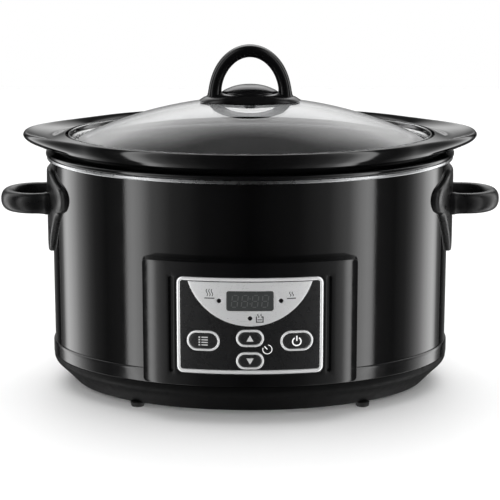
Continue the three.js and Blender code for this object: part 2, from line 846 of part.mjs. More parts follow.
/** The flat ribbon that joins the two boards, bent in Y and Z. */
function controlRibbon() {
  const back = -boardFront + boardThickness + 0.6;
  const thick = 1.2;
  const drop = -wallHalfWidth + 14;
  const shelf = partFoot + 3.6;
  const end = -powerBoardHalf.y + 6;
  const path = [
    [back, boardBottom + 10],
    [back, linerBottom + 0.5],
    [drop, linerBottom - 7],
    [drop, shelf],
    [end - 6, shelf],
    [end - 6, partFoot],
    [end, partFoot],
    [end, shelf + thick],
    [drop + thick, shelf + thick],
    [drop + thick, linerBottom - 6.4],
    [back + thick, linerBottom + 1],
    [back + thick, boardBottom + 10],
  ];
  const outline = new THREE.Shape(path.map(([y, z]) => new THREE.Vector2(y, z)));
  return sidePrism(outline, -8, 8);
}

// ---------------------------------------------------------------- base

const baseHalf = { length: wallHalfLength - 14.5, width: wallHalfWidth - 8.5 };

/** A ring inside the base moulding's bottom edge, at an inset from it. */
function baseRing(inset, z) {
  return ring(baseHalf.length - inset, baseHalf.width - inset, z);
}

/** The place on a ring inside that edge, at an angle in degrees from the end of the oval. */
function onBaseRing(inset, angle, sideX, sideY) {
  const turn = THREE.MathUtils.degToRad(angle);
  return {
    x: sideX * (baseHalf.length - inset) * Math.cos(turn),
    y: sideY * (baseHalf.width - inset) * Math.sin(turn),
  };
}

const coverInset = 13.5;
const ledgeHeight = baseUnderside + coverThickness + clearance;
const floorTop = ledgeHeight + 2.4;

const coverScrews = [];
const feet = [];
for (const [end, x] of [['left', -1], ['right', 1]]) {
  for (const [side, y] of [['front', -1], ['rear', 1]]) {
    const name = `${side}_${end}`;
    coverScrews.push({ name, ...onBaseRing(coverScrewInset, coverScrewAngle, x, y) });
    feet.push({ name, ...onBaseRing(footInset, footAngle, x, y) });
  }
}

function baseMoulding() {
  const grooveFloor = seamHeight - wallGrooveDepth;
  const body = oval([
    at(bandStandOut, seamHeight),
    at(bandStandOut, seamHeight - 8),
    at(bandStandOut - 1.2, seamHeight - 12.5),
    at(bandStandOut - 4.6, seamHeight - 16),
    at(-10.5, creaseHeight),
    baseRing(0, baseUnderside),
    baseRing(coverInset, baseUnderside),
    baseRing(coverInset, ledgeHeight),
    baseRing(coverInset + 6, ledgeHeight),
    baseRing(coverInset + 6, floorTop),
    baseRing(6, floorTop),
    at(-13.5, creaseHeight + 2),
    at(-4.5, seamHeight - 11),
    at(-4.5, seamHeight),
    at(-wallThickness - clearance, seamHeight),
    at(-wallThickness - clearance, grooveFloor),
    at(clearance, grooveFloor),
    at(clearance, seamHeight),
  ]);
  const bosses = coverScrews.map(({ x, y }) => post(x, y, 5, ledgeHeight, floorTop + 9, 8));
  const pilots = coverScrews.map(({ x, y }) => post(x, y, 1.9, 0, floorTop + 7, 6));
  const footHoles = feet.map(({ x, y }) => post(x, y, 2.5, 0, ledgeHeight + 1.2, 8));
  return cut(join(body, ...bosses), ...pilots, ...footHoles);
}

const boardPosts = [];
for (const x of [-1, 1]) {
  for (const y of [-1, 1]) {
    boardPosts.push({ x: x * (powerBoardHalf.x - 6), y: y * (powerBoardHalf.y - 6) });
  }
}
const sensorY = wallHalfWidth - sensorInset;
const sensorFoot = linerBottom - 9;

function bottomCover() {
  const top = baseUnderside + coverThickness;
  const inset = coverInset + clearance;
  const plate = oval([
    onAxis(baseUnderside),
    baseRing(inset, baseUnderside),
    baseRing(inset, top),
    onAxis(top),
  ]);
  const posts = boardPosts.map(({ x, y }) => {
    return post(x, y, 3.5, baseUnderside + 1, powerBoardBottom - clearance, 6);
  });
  const sensorPost = post(0, sensorY, 4, baseUnderside + 1, sensorFoot - clearance, 8);
  const screwHoles = coverScrews.map(({ x, y }) => post(x, y, 2.1, 0, top + 2, 8));
  const slots = [];
  for (const side of [-1, 1]) {
    for (let i = -2; i <= 2; i += 1) {
      const slot = roundedBox(side * 80, i * 10, 22, 4, 0.8);
      slots.push(upPrism(slot, 0, top + 2));
    }
  }
  return cut(join(plate, ...posts, sensorPost), ...screwHoles, ...slots);
}

function coverScrew({ x, y }) {
  const headTop = baseUnderside - clearance;
  return turned([
    [0, headTop - 2],
    [3.6, headTop - 1.4],
    [3.6, headTop],
    [1.6, headTop],
    [1.6, floorTop + 6.5],
    [0, floorTop + 6.5],
  ], x, y, 10);
}

function foot({ x, y }) {
  const shoulder = baseUnderside - clearance;
  return turned([
    [0, 0],
    [footRadius - 0.8, 0],
    [footRadius, 0.8],
    [footRadius, shoulder],
    [2.2, shoulder],
    [2.2, ledgeHeight + 0.9],
    [0, ledgeHeight + 0.9],
  ], x, y);
}

/** The bush where the mains lead comes out: it stands out behind as far as the buttons in front. */
function cordGland() {
  const wallSag = 0.3; // the wall falls away this much across the gland
  const inside = wallHalfWidth - wallThickness - wallSag - clearance;
  const outside = wallHalfWidth + clearance;
  const end = wallHalfWidth + buttonFace;
  return turnedAlongY([
    [cordRadius, inside - 2.2],
    [glandRadius + glandFlange, inside - 2.2],
    [glandRadius + glandFlange, inside],
    [glandRadius, inside],
    [glandRadius, outside],
    [glandRadius + glandFlange, outside],
    [glandRadius + glandFlange, outside + 2.4],
    [glandRadius - 0.6, outside + 3.2],
    [glandRadius - 1.8, end],
    [cordRadius, end],
    [cordRadius, inside - 2.2],
  ], 0, glandHeight, 14);
}

// ---------------------------------------------------------------- assembly

add('lid_glass', lidGlass(), smokedGlass);
add('lid_handle', lidHandle(), glossBlack);
add('lid_washer', lidWasher(), zincSteel);
add('lid_screw', lidScrew(), zincSteel);
add('stoneware_crock', stonewareCrock(), glazedBlack);

add('outer_wrap', outerWrap(), glossBlack);
add('top_trim_ring', topTrimRing(), polishedSteel);
add('heating_liner', heatingLiner(), satinBlack);
add('heating_band', heatingBand(), zincSteel);
add('base_moulding', baseMoulding(), satinBlack);
add('bottom_cover', bottomCover(), zincSteel);
for (const each of feet) add(`foot_${each.name}`, foot(each), blackRubber);
for (const each of coverScrews) add(`cover_screw_${each.name}`, coverScrew(each), zincSteel);

const handlePiece = sideHandle();
const sides = [{ name: 'right', turn: 0 }, { name: 'left', turn: 180 }];
for (const { name, turn } of sides) {
  add(`side_handle_${name}`, handlePiece.rotate([0, 0, turn]), glossBlack);
  for (const y of [-screwY, screwY]) {
    const place = (y < 0) === (turn === 0) ? 'front' : 'rear';
    add(`handle_screw_${name}_${place}`, handleScrew(y).rotate([0, 0, turn]), zincSteel);
  }
}

add('control_housing', controlHousing(), glossBlack);
add('bezel_frame', bezelFrame(), polishedSteel);
add('fascia_panel', fasciaPanel(), fasciaGrey);
add('arc_panel', arcPanel(), brushedSilver);
add('display_lens', displayLens(), darkLens);
add('display_module', displayModule(), partGrey);
for (const each of lights) add(each.name, lightLensPiece(each), lightLens);
for (const each of buttons) {
  add(`${each.name}_button_ring`, buttonRing(each), polishedSteel);
  add(`${each.name}_button`, buttonPiece(each), satinBlack);
  add(`${each.name}_switch`, switchPiece(each), partGrey);
}

add('control_board', controlBoard(), boardGreen);
add('power_board', powerBoard(), boardGreen);
add('control_ribbon', controlRibbon(), partGrey);
add('relay', block([-44, -25], [-10, 6], [partFoot, partFoot + 15]), partGrey);
add('transformer', block([8, 40], [-14, 14], [partFoot, partFoot + 20]), copper);
add('capacitor', post(-8, 20, 6, partFoot, partFoot + 19), partGrey);
add('temperature_sensor', turned([
  [0, sensorFoot],
  [3, sensorFoot],
  [3, linerBottom - 2],
  [6, linerBottom - 1.8],
  [6, linerBottom - clearance],
  [0, linerBottom - clearance],
], 0, sensorY), zincSteel);
add('thermal_fuse', turnedAlongY([
  [0, -12],
  [2, -12],
  [2, 12],
  [0, 12],
], 64, linerBottom - 2 - clearance, 8), partGrey);
add('cord_gland', cordGland(), blackRubber);

export default cooker;
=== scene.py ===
"""An oval slow cooker: heated base with a push-button panel, stoneware crock and glass lid.

Every size here is in millimetres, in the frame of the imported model: +Z up, the front
towards -Y. make_piece() turns them into metres. Each visible shell is a fine surface
over the same ovals, heights and outlines as the model's own solids.
"""

import json
import math

import bmesh
import bpy
import numpy as np
from mathutils.geometry import delaunay_2d_cdt
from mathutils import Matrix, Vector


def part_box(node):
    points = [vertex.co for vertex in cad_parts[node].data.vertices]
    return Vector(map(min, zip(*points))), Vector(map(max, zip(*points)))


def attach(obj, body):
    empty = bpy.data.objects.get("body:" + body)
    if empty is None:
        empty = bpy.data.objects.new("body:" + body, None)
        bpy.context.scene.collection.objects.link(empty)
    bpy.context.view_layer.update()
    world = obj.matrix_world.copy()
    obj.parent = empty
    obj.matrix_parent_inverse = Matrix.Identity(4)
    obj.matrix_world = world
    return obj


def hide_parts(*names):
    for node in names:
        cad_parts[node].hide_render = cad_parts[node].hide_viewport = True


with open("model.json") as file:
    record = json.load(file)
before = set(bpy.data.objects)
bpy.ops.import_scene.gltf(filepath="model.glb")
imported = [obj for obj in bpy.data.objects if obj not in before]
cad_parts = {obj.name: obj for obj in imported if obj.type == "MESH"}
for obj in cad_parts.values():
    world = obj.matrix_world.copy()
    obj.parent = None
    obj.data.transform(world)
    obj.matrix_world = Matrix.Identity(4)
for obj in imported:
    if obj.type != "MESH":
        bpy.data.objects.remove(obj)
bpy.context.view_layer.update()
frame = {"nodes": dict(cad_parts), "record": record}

MM = 0.001


def box_mm(node):
    """The low and the high corner of a node's box, in millimetres."""
    low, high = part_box(node)
    return np.array(low) / MM, np.array(high) / MM


# -------- sizes from the frame

wall_low, wall_high = box_mm("outer_wrap")
HALF_LENGTH, HALF_WIDTH, WALL_TOP = wall_high
ring_low, ring_high = box_mm("top_trim_ring")
liner_low, liner_high = box_mm("heating_liner")
crock_low, crock_high = box_mm("stoneware_crock")
lid_high = box_mm("lid_glass")[1]
knob_low, knob_high = box_mm("lid_handle")
base_low, base_high = box_mm("base_moulding")
grip_low, grip_high = box_mm("side_handle_right")
housing_low, housing_high = box_mm("control_housing")
bezel_low, bezel_high = box_mm("bezel_frame")
arc_low, arc_high = box_mm("arc_panel")
gland_low, gland_high = box_mm("cord_gland")

OVAL_STEPS = 288
GAP = 0.3  # between pieces that touch
SMALLEST_CORNER = 0.05
WING_SPREAD = 0.62  # sine of the oval angle where a wing dies out
WING_BLUNTNESS, WING_HOLLOW = 2.6, 2.2  # powers of a wing's plan: its tip, then its sides
COLLAR_OUT = crock_high[1] - HALF_WIDTH
WING_REACH = crock_high[0] - HALF_LENGTH - COLLAR_OUT
HOUSING_FACE = -housing_low[1] - HALF_WIDTH
BEZEL_FACE = -bezel_low[1] - HALF_WIDTH
FASCIA_FACE = 10.0
ARC_FACE = -arc_low[1] - HALF_WIDTH
BUTTON_FACE = -box_mm("up_button")[0][1] - HALF_WIDTH
SEAT_DEPTH = 8.6  # from the crock's rim down to the lid's seat
INK_THICKNESS, INK_SPACING = 0.06, 1.5
EDGE_CLEARANCE = 0.35  # share of a grid's spacing that keeps its points off an edge
SECTION_POINTS = 40


# -------- building meshes

CREASE = 38  # degrees between faces above which an edge stays crisp


def turns(count):
    """Angles spaced evenly round a circle."""
    return np.arange(count) / count * 2 * np.pi


def put(name, data):
    """An object in the scene with this data."""
    thing = bpy.data.objects.new(name, data)
    bpy.context.scene.collection.objects.link(thing)
    return thing


def quads(rows, columns, wrap_rows=False):
    """Corner numbers of the squares of a grid whose points are counted row by row. The
    last column meets the first, and the last row does too if the rows wrap."""
    r = np.arange(rows if wrap_rows else rows - 1)
    r, c = np.meshgrid(r, np.arange(columns), indexing="ij")
    r2, c2 = (r + 1) % rows, (c + 1) % columns
    corners = [r * columns + c, r * columns + c2, r2 * columns + c2, r2 * columns + c]
    return np.stack(corners, -1).reshape(-1, 4)


def grid_part(grid, wrap_rows=False):
    """The points of a grid of rings and the squares between them."""
    rows, columns = grid.shape[:2]
    return grid.reshape(-1, 3), quads(rows, columns, wrap_rows)


def make_piece(name, parts, finish, body, stands_for):
    """One object from (points, faces) parts in millimetres, its doubles merged and its
    faces turned outwards. It rides on a body and stands for the nodes given."""
    points, faces, first = [], [], 0
    for part_points, part_faces in parts:
        points.append(part_points)
        faces.extend((np.asarray(part_faces) + first).tolist())
        first += len(part_points)
    mesh = bpy.data.meshes.new(name)
    mesh.from_pydata((np.concatenate(points) * MM).tolist(), [], faces)
    work = bmesh.new()
    work.from_mesh(mesh)
    bmesh.ops.remove_doubles(work, verts=work.verts, dist=0.002 * MM)
    bmesh.ops.dissolve_degenerate(work, edges=work.edges, dist=0.001 * MM)
    bmesh.ops.recalc_face_normals(work, faces=work.faces)
    work.to_mesh(mesh)
    work.free()
    mesh.shade_smooth()
    mesh.set_sharp_from_angle(angle=math.radians(CREASE))
    mesh.materials.append(finish)
    piece = put(name, mesh)
    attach(piece, body)
    if stands_for:
        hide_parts(*stands_for)


def rounded(points, radii, steps=6, closed=False):
    """Corners of a line eased by parabolas: each runs between the two points a radius
    along the corner's sides, with the corner as its control point."""
    points = np.asarray(points, float)
    count = len(points)
    pieces = []
    for i, (corner, radius) in enumerate(zip(points, radii)):
        if radius <= 0 or (not closed and i in (0, count - 1)):
            pieces.append(corner[None])
            continue
        before = points[i - 1] - corner
        after = points[(i + 1) % count] - corner
        start = corner + before * min(0.5, radius / np.linalg.norm(before))
        end = corner + after * min(0.5, radius / np.linalg.norm(after))
        t = np.linspace(0, 1, steps + 1)[:, None]
        pieces.append((1 - t) ** 2 * start + 2 * t * (1 - t) * corner + t**2 * end)
    return np.concatenate(pieces)


def closed_spline(points, steps):
    """A closed Catmull-Rom curve through the points, with this many steps to each span."""
    points = np.asarray(points, float)
    padded = np.concatenate([points[-1:], points, points[:2]])
    t = (np.arange(steps) / steps)[None, :, None]
    a, b, c, d = (padded[k : len(padded) - 3 + k][:, None] for k in range(4))
    cubic = 3 * (b - c) + d - a
    curve = 0.5 * (2 * b + (c - a) * t + (2 * a - 5 * b + 4 * c - d) * t**2 + cubic * t**3)
    return curve.reshape(-1, points.shape[1])


# -------- ovals


def at(offset, z, wing=0.0):
    """A ring at an offset from the wall's oval."""
    return [HALF_LENGTH + offset, HALF_WIDTH + offset, z, wing]


def ring(half_length, half_width, z):
    """A ring of its own half length and half width, with no wing."""
    return [half_length, half_width, z, 0.0]


def oval_part(profile, closed=False):
    """Profile rings carried round the body. At angle a, y is the half width times sin a.
    x is the half length times cos a, plus the wing times 1 less |sin a / spread| to the
    power of the bluntness, all to the power of the hollow."""
    profile = np.asarray(profile, float)
    angle = turns(OVAL_STEPS)
    share = np.abs(np.sin(angle) / WING_SPREAD) ** WING_BLUNTNESS
    share = np.maximum(0, 1 - share) ** WING_HOLLOW
    share = share * np.sign(np.cos(angle))
    x = profile[:, :1] * np.cos(angle) + profile[:, 3:] * share
    y = profile[:, 1:2] * np.sin(angle)
    z = np.broadcast_to(profile[:, 2:3], x.shape)
    return grid_part(np.stack([x, y, z], -1), wrap_rows=closed)


def turned_part(profile, axis="z", centre=(0, 0, 0), steps=48):
    """A [radius, height] profile turned about the Z or the Y axis through the centre: the
    radius times the cosine and the sine of the angle, at the height along the axis."""
    profile = np.asarray(profile, float)
    angle = turns(steps)
    u = profile[:, :1] * np.cos(angle)
    v = profile[:, :1] * np.sin(angle)
    w = np.broadcast_to(profile[:, 1:2], u.shape)
    order = {"z": (u, v, w), "y": (u, w, v)}[axis]
    return grid_part(np.stack(order, -1) + np.asarray(centre, float))


def front(x, z, offset):
    """The point on the front of the body at x and z, at an offset from the wall's oval: y
    is minus the half width times the root of 1 less the square of x / half length."""
    x, z, offset = np.broadcast_arrays(x, z, offset)
    share = x / (HALF_LENGTH + offset)
    y = -(HALF_WIDTH + offset) * np.sqrt(np.maximum(0, 1 - share**2))
    return np.stack([x, y, z], -1)


# -------- sheets on the front


def box_outline(x, z, length, height, corner, along, upright):
    """A function that gives a box's outline, drawn in by an inset: a quarter circle at
    each corner, and evenly spaced points on the sides between them."""

    def outline(inset=0.0):
        """The points from the lower right corner, anticlockwise."""
        r = max(corner - inset, SMALLEST_CORNER)
        half_l, half_h = length / 2 - inset, height / 2 - inset
        arc = np.linspace(0, np.pi / 2, 9)
        sides = []
        for turn, (sx, sz) in enumerate([(1, -1), (1, 1), (-1, 1), (-1, -1)]):
            angle = arc + (turn - 1) * np.pi / 2
            cx, cz = sx * (half_l - r), sz * (half_h - r)
            sides.append(np.stack([cx + r * np.cos(angle), cz + r * np.sin(angle)], -1))
        loop = []
        for k, bend in enumerate(sides):
            loop.append(bend)
            count = upright if k % 2 == 0 else along
            t = np.linspace(0, 1, count + 2)[1:-1, None]
            loop.append(bend[-1] * (1 - t) + sides[(k + 1) % 4][0] * t)
        return np.concatenate(loop) + [x, z]

    return outline


def stadium_outline(x, z, length, height):
    """A box outline with a half circle for each end."""
    return box_outline(x, z, length, height, height / 2 - 0.02, 8, 1)


def disc_outline(x, z, radius, count=32):
    """A function that gives a circle, drawn in by an inset."""

    def outline(inset=0.0):
        """The circle's points."""
        angle = turns(count)
        return np.stack([np.cos(angle), np.sin(angle)], -1) * (radius - inset) + [x, z]

    return outline


def inside(loop, points):
    """Whether each point is inside a loop, by counting the sides to its right."""
    x1, z1 = loop[:, 0], loop[:, 1]
    x2, z2 = np.roll(x1, -1), np.roll(z1, -1)
    x, z = points[:, :1], points[:, 1:]
    spans = (z1 > z) != (z2 > z)
    rise = np.where(z2 == z1, 1e-9, z2 - z1)
    crossing = x < (x2 - x1) * (z - z1) / rise + x1
    return (spans & crossing).sum(1) % 2 == 1


def covered(outer, holes, points):
    """Whether each point is inside an outline and outside all its holes."""
    keep = inside(outer, points)
    for hole in holes:
        keep &= ~inside(hole, points)
    return keep


def filled(outer, holes, spacing):
    """Triangles over an outline less its holes, through a grid of points inside it. Grid
    points that would crowd an edge are left out."""
    loops = [outer, *holes]
    low, high = outer.min(0), outer.max(0)
    x, z = (np.arange(a + spacing / 2, b, spacing) for a, b in zip(low, high))
    grid = np.stack(np.meshgrid(x, z), -1).reshape(-1, 2)
    edge_points = np.concatenate(loops)
    near = np.linalg.norm(grid[:, None] - edge_points[None], axis=-1).min(1)
    grid = grid[covered(outer, holes, grid) & (near > spacing * EDGE_CLEARANCE)]
    edges, first = [], 0
    for loop in loops:
        n = np.arange(len(loop))
        edges += np.stack([first + n, first + (n + 1) % len(loop)], -1).tolist()
        first += len(loop)
    points = np.concatenate([edge_points, grid])
    made, _, faces, *_ = delaunay_2d_cdt(points.tolist(), edges, [], 1, 1e-6)
    made, faces = np.array([list(p) for p in made]), np.array(faces)
    return made, faces[covered(outer, holes, made[faces].mean(1))]


def flat_part(outer, holes, spacing, offset):
    """An outline less its holes, filled and laid on the front at an offset."""
    points, faces = filled(outer, holes, spacing)
    return front(*points.T, offset), faces


def front_sheet(outer, holes, face, back, edge, spacing, trenches=()):
    """A sheet that curves with the body, from its back offset to its face offset. Its
    front edges are eased by close to a quarter circle, as pairs of an inset and a drop. A
    trench is an outline and the offset of its floor."""
    cuts = [*holes, *[outline for outline, _ in trenches]]
    parts = [flat_part(outer(edge), [cut(-edge) for cut in cuts], spacing, face),
             flat_part(outer(0.0), [cut(0.0) for cut in holes], spacing * 2, back)]
    eased = [(edge, 0.0), (edge * 0.45, edge * 0.12), (edge * 0.12, edge * 0.45), (0.0, edge)]

    def walls(outline, sign, floor):
        """The eased edge and the upright wall under it, all round one outline."""
        rings = [front(*outline(sign * inset).T, face - drop) for inset, drop in eased]
        rings.append(front(*outline(0.0).T, floor))
        parts.append(grid_part(np.stack(rings)))

    walls(outer, 1, back)
    for hole in holes:
        walls(hole, -1, back)
    for outline, floor in trenches:
        walls(outline, -1, floor)
        parts.append(flat_part(outline(0.0), [], spacing, floor))
    return parts


def print_mark(loops, offset):
    """Flat printed shapes: each closed loop in X and Z is filled at the offset and given
    a film's thickness."""
    levels = (offset + INK_THICKNESS, offset)
    parts = []
    for loop in loops:
        parts += [flat_part(loop, [], INK_SPACING, level) for level in levels]
        parts.append(grid_part(np.stack([front(*loop.T, level) for level in levels])))
    return parts


def stroke(path, width):
    """A loop round a line, half the width to each side, with square ends."""
    path = np.asarray(path, float)
    along = np.gradient(path, axis=0)
    along /= np.linalg.norm(along, axis=1, keepdims=True)
    across = np.stack([-along[:, 1], along[:, 0]], -1) * width / 2
    return np.concatenate([path + across, (path - across)[::-1]])


def bar(x, z, length, height):
    """A loop round a bar whose corners are a quarter of its thickness."""
    return box_outline(x, z, length, height, min(length, height) / 4, 1, 1)()


# -------- sweeps


def oval_section(half_u, half_v, power):
    """A super-ellipse: |u / half_u|^power + |v / half_v|^power = 1."""
    angle = turns(SECTION_POINTS)
    c, s = np.cos(angle), np.sin(angle)
    u = half_u * np.sign(c) * np.abs(c) ** (2 / power)
    v = half_v * np.sign(s) * np.abs(s) ** (2 / power)
    return u, v


def sweep_part(path, upright, section, scale_u, scale_v):
    """A section carried along a flat path: path point + u across + v upright, each scaled
    from point to point. Both ends close on their path point."""
    upright = np.asarray(upright, float)
    along = np.gradient(path, axis=0)
    along /= np.linalg.norm(along, axis=1, keepdims=True)
    across = np.cross(along, upright)
    u, v = section
    aside = across[:, None] * u[None, :, None] * scale_u[:, None, None]
    rings = path[:, None] + aside + upright * v[:, None] * scale_v[:, None, None]
    ends = [np.broadcast_to(path[k], rings[0].shape)[None] for k in (0, -1)]
    return grid_part(np.concatenate([ends[0], rings, ends[1]]))


# -------- finishes

NOISE_LOW, NOISE_HIGH = 0.3, 0.7  # the middle range of a noise texture's values
DEEP_BLACK = (0.0015, 0.0015, 0.0016)


def new_finish(name, colour, roughness, metallic=0.0, **sockets):
    """A Principled finish whose even values sit on the shader's own sockets. A socket's
    name is given with underlines for its spaces."""
    finish = bpy.data.materials.new(name)
    finish.use_nodes = True
    shader = finish.node_tree.nodes["Principled BSDF"]
    shader.inputs["Base Color"].default_value = (*colour, 1.0)
    shader.inputs["Roughness"].default_value = roughness
    shader.inputs["Metallic"].default_value = metallic
    for socket, value in sockets.items():
        shader.inputs[socket.replace("_", " ")].default_value = value
    return finish


def noise_of(finish, scale, detail=3.0, stretch=(1, 1, 1)):
    """A noise texture on the object's own coordinates, stretched along its axes."""
    nodes, links = finish.node_tree.nodes, finish.node_tree.links
    place = nodes.new("ShaderNodeTexCoord")
    mapping = nodes.new("ShaderNodeMapping")
    mapping.inputs["Scale"].default_value = stretch
    noise = nodes.new("ShaderNodeTexNoise")
    noise.inputs["Scale"].default_value = scale
    noise.inputs["Detail"].default_value = detail
    links.new(place.outputs["Object"], mapping.inputs["Vector"])
    links.new(mapping.outputs["Vector"], noise.inputs["Vector"])
    return noise.outputs["Fac"]


def add_bump(finish, height, strength, distance):
    """Fine relief on a finish, from a noise; the distance is in metres."""
    nodes, links = finish.node_tree.nodes, finish.node_tree.links
    bump = nodes.new("ShaderNodeBump")
    bump.inputs["Strength"].default_value = strength
    bump.inputs["Distance"].default_value = distance
    links.new(height, bump.inputs["Height"])
    links.new(bump.outputs["Normal"], nodes["Principled BSDF"].inputs["Normal"])


def carried(finish, value, ends, way="LINEAR"):
    """A value carried from one range to another: the first two ends to the last two."""
    step = finish.node_tree.nodes.new("ShaderNodeMapRange")
    step.interpolation_type = way
    for socket, end in zip(("From Min", "From Max", "To Min", "To Max"), ends):
        step.inputs[socket].default_value = end
    finish.node_tree.links.new(value, step.inputs["Value"])
    return step.outputs["Result"]


def vary_roughness(finish, factor, low, high):
    """A roughness that runs from low to high with a noise's middle range."""
    spread = carried(finish, factor, (NOISE_LOW, NOISE_HIGH, low, high))
    shader = finish.node_tree.nodes["Principled BSDF"]
    finish.node_tree.links.new(spread, shader.inputs["Roughness"])


def vary_colour(finish, factor, dark, light):
    """A base colour that runs from dark to light with a noise's middle range."""
    nodes, links = finish.node_tree.nodes, finish.node_tree.links
    ramp = nodes.new("ShaderNodeValToRGB")
    ends = (NOISE_LOW, dark), (NOISE_HIGH, light)
    for element, (position, colour) in zip(ramp.color_ramp.elements, ends):
        element.position = position
        element.color = (*colour, 1.0)
    links.new(factor, ramp.inputs["Fac"])
    links.new(ramp.outputs["Color"], nodes["Principled BSDF"].inputs["Base Color"])


def gloss_paint():
    """Black paint with a faint orange-peel surface."""
    finish = new_finish("gloss_paint", DEEP_BLACK, 0.06)
    vary_roughness(finish, noise_of(finish, 60), 0.05, 0.09)
    add_bump(finish, noise_of(finish, 700, 2.0), 0.05, 0.0002)
    return finish


def glazed_stoneware():
    """Black glaze whose surface rolls slowly, as glaze does over clay."""
    finish = new_finish("glazed_stoneware", DEEP_BLACK, 0.05)
    vary_roughness(finish, noise_of(finish, 90), 0.04, 0.10)
    add_bump(finish, noise_of(finish, 38, 2.0), 0.05, 0.0004)
    return finish


def lid_glass_finish():
    """Clear glass with a grey cast that drifts a little from place to place."""
    finish = new_finish("lid_glass", (0.78, 0.785, 0.79), 0.0, Transmission_Weight=1.0, IOR=1.5)
    vary_colour(finish, noise_of(finish, 12, 2.0), (0.74, 0.745, 0.75), (0.82, 0.825, 0.83))
    return finish


def gloss_moulding(name, roughness, **sockets):
    """Black moulded plastic with a gloss that drifts from place to place."""
    finish = new_finish(name, (0.0022, 0.0022, 0.0024), roughness, **sockets)
    vary_roughness(finish, noise_of(finish, 120), roughness * 0.7, roughness * 1.3)
    add_bump(finish, noise_of(finish, 260, 3.0), 0.04, 0.0003)
    return finish


def satin_moulding(name, colour, roughness, grain=1500, **sockets):
    """Plastic, film, ink or rubber with a fine grain."""
    finish = new_finish(name, colour, roughness, **sockets)
    vary_roughness(finish, noise_of(finish, 200), roughness * 0.85, roughness * 1.15)
    add_bump(finish, noise_of(finish, grain, 4.0), 0.25, 0.0002)
    return finish


def bright_metal(name, roughness=0.12, metallic=0.55, colour=(0.88, 0.885, 0.89)):
    """Bright plating or metal with a slightly uneven polish."""
    finish = new_finish(name, colour, roughness, metallic)
    vary_roughness(finish, noise_of(finish, 150), roughness * 0.85, roughness * 1.2)
    add_bump(finish, noise_of(finish, 120, 2.0), 0.02, 0.0002)
    return finish


def brushed_silver():
    """Fine scratches drawn out along X, over a softly varied silver."""
    finish = new_finish("brushed_silver", (0.90, 0.905, 0.91), 0.30, 0.66)
    scratches = noise_of(finish, 5000, 3.0, (0.02, 1, 1))
    vary_roughness(finish, scratches, 0.27, 0.37)
    add_bump(finish, scratches, 0.05, 0.00002)
    return finish


PAINT = gloss_paint()
GLAZE = glazed_stoneware()
GLASS = lid_glass_finish()
HANDLE = gloss_moulding("handle_moulding", 0.32, Specular_IOR_Level=0.28)
LOOP = gloss_moulding("lid_handle_moulding", 0.16, Specular_IOR_Level=0.24)
HOUSING = gloss_moulding("housing_moulding", 0.10)
BAND = gloss_moulding("base_band_gloss", 0.14)
TAPER = satin_moulding("base_taper_satin", DEEP_BLACK, 0.5, Specular_IOR_Level=0.07)
BRIGHT = bright_metal("bright_trim")
RING = bright_metal("trim_ring_metal", 0.28, 1.0, (0.36, 0.365, 0.37))
SILVER = brushed_silver()
FASCIA = satin_moulding("fascia_film", (0.0075, 0.0075, 0.008), 0.28, 2500)
ENAMEL = gloss_moulding("liner_enamel", 0.08)
DISPLAY = satin_moulding("display_window", (0.032, 0.034, 0.034), 0.16, 2500)
SEGMENT = satin_moulding("display_segment", (0.058, 0.06, 0.06), 0.4)
LENS = gloss_moulding("light_lens", 0.12)
BUTTON = satin_moulding("button_cap", (0.012, 0.012, 0.0125), 0.28, 2500)
WHITE_INK, PALE_INK, DARK_INK = (
    satin_moulding(f"{name}_ink", (level, level, level), 0.5, 2500)
    for name, level in (("white", 0.80), ("pale", 0.42), ("dark", 0.02))
)
RUBBER = satin_moulding("black_rubber", (0.004, 0.004, 0.004), 0.8, 900)
PLATED = bright_metal("plated_steel", 0.3)
BOARD = satin_moulding("board_green", (0.02, 0.11, 0.05), 0.45, 1200)
GREY = satin_moulding("component_grey", (0.10, 0.105, 0.105), 0.5, 1200)
WINDING = new_finish("copper_winding", (0.70, 0.34, 0.18), 0.35, 1.0)
add_bump(WINDING, noise_of(WINDING, 1200, 2.0, (1, 1, 0.05)), 0.4, 0.0004)


# -------- camera, light, floor


def add_camera():
    """Straight in front, a metre and a half away and a little above, looking down."""
    distance, height, tilt = 1.5014, 0.4637, 0.233
    data = bpy.data.cameras.new("camera")
    data.lens = 137.2
    data.sensor_width = 36.0
    camera = put("camera", data)
    camera.location = (0.0, -distance, height)
    camera.rotation_euler = (math.pi / 2 - tilt, 0.0, 0.0)
    bpy.context.scene.camera = camera


def add_softbox(name, place, size, aim, power):
    """An oblong light that faces its aim and shows in no reflection and through no glass."""
    data = bpy.data.lights.new(name, "AREA")
    data.shape = "RECTANGLE"
    data.size, data.size_y = size
    data.energy = power
    light = put(name, data)
    light.location = place
    direction = np.array(aim, float) - np.array(place, float)
    flat = math.hypot(direction[0], direction[1])
    tilt = math.atan2(flat, -direction[2])
    light.rotation_euler = (tilt, 0.0, math.atan2(direction[1], direction[0]) - math.pi / 2)
    light.visible_glossy = False
    light.visible_transmission = False


# the surround's brightness at angles in degrees round from the front, the same both ways
SURROUND_STOPS = [
    (0, 0.0), (20, 0.02), (34, 0.09), (44, 0.30), (50, 0.80), (54, 1.0), (57, 0.90),
    (59.5, 0.04), (72, 0.02), (81, 0.06), (86, 0.13), (91, 0.27), (97, 0.48), (103, 0.78),
    (109, 0.93), (115, 0.95), (119, 0.70), (124, 0.15), (130, 0.04), (138, 0.12),
    (152, 0.65), (180, 0.85),
]
SURROUND_STRENGTH = 4.3
BACK_STARTS = 0.74  # share of the half turn from the front to the back


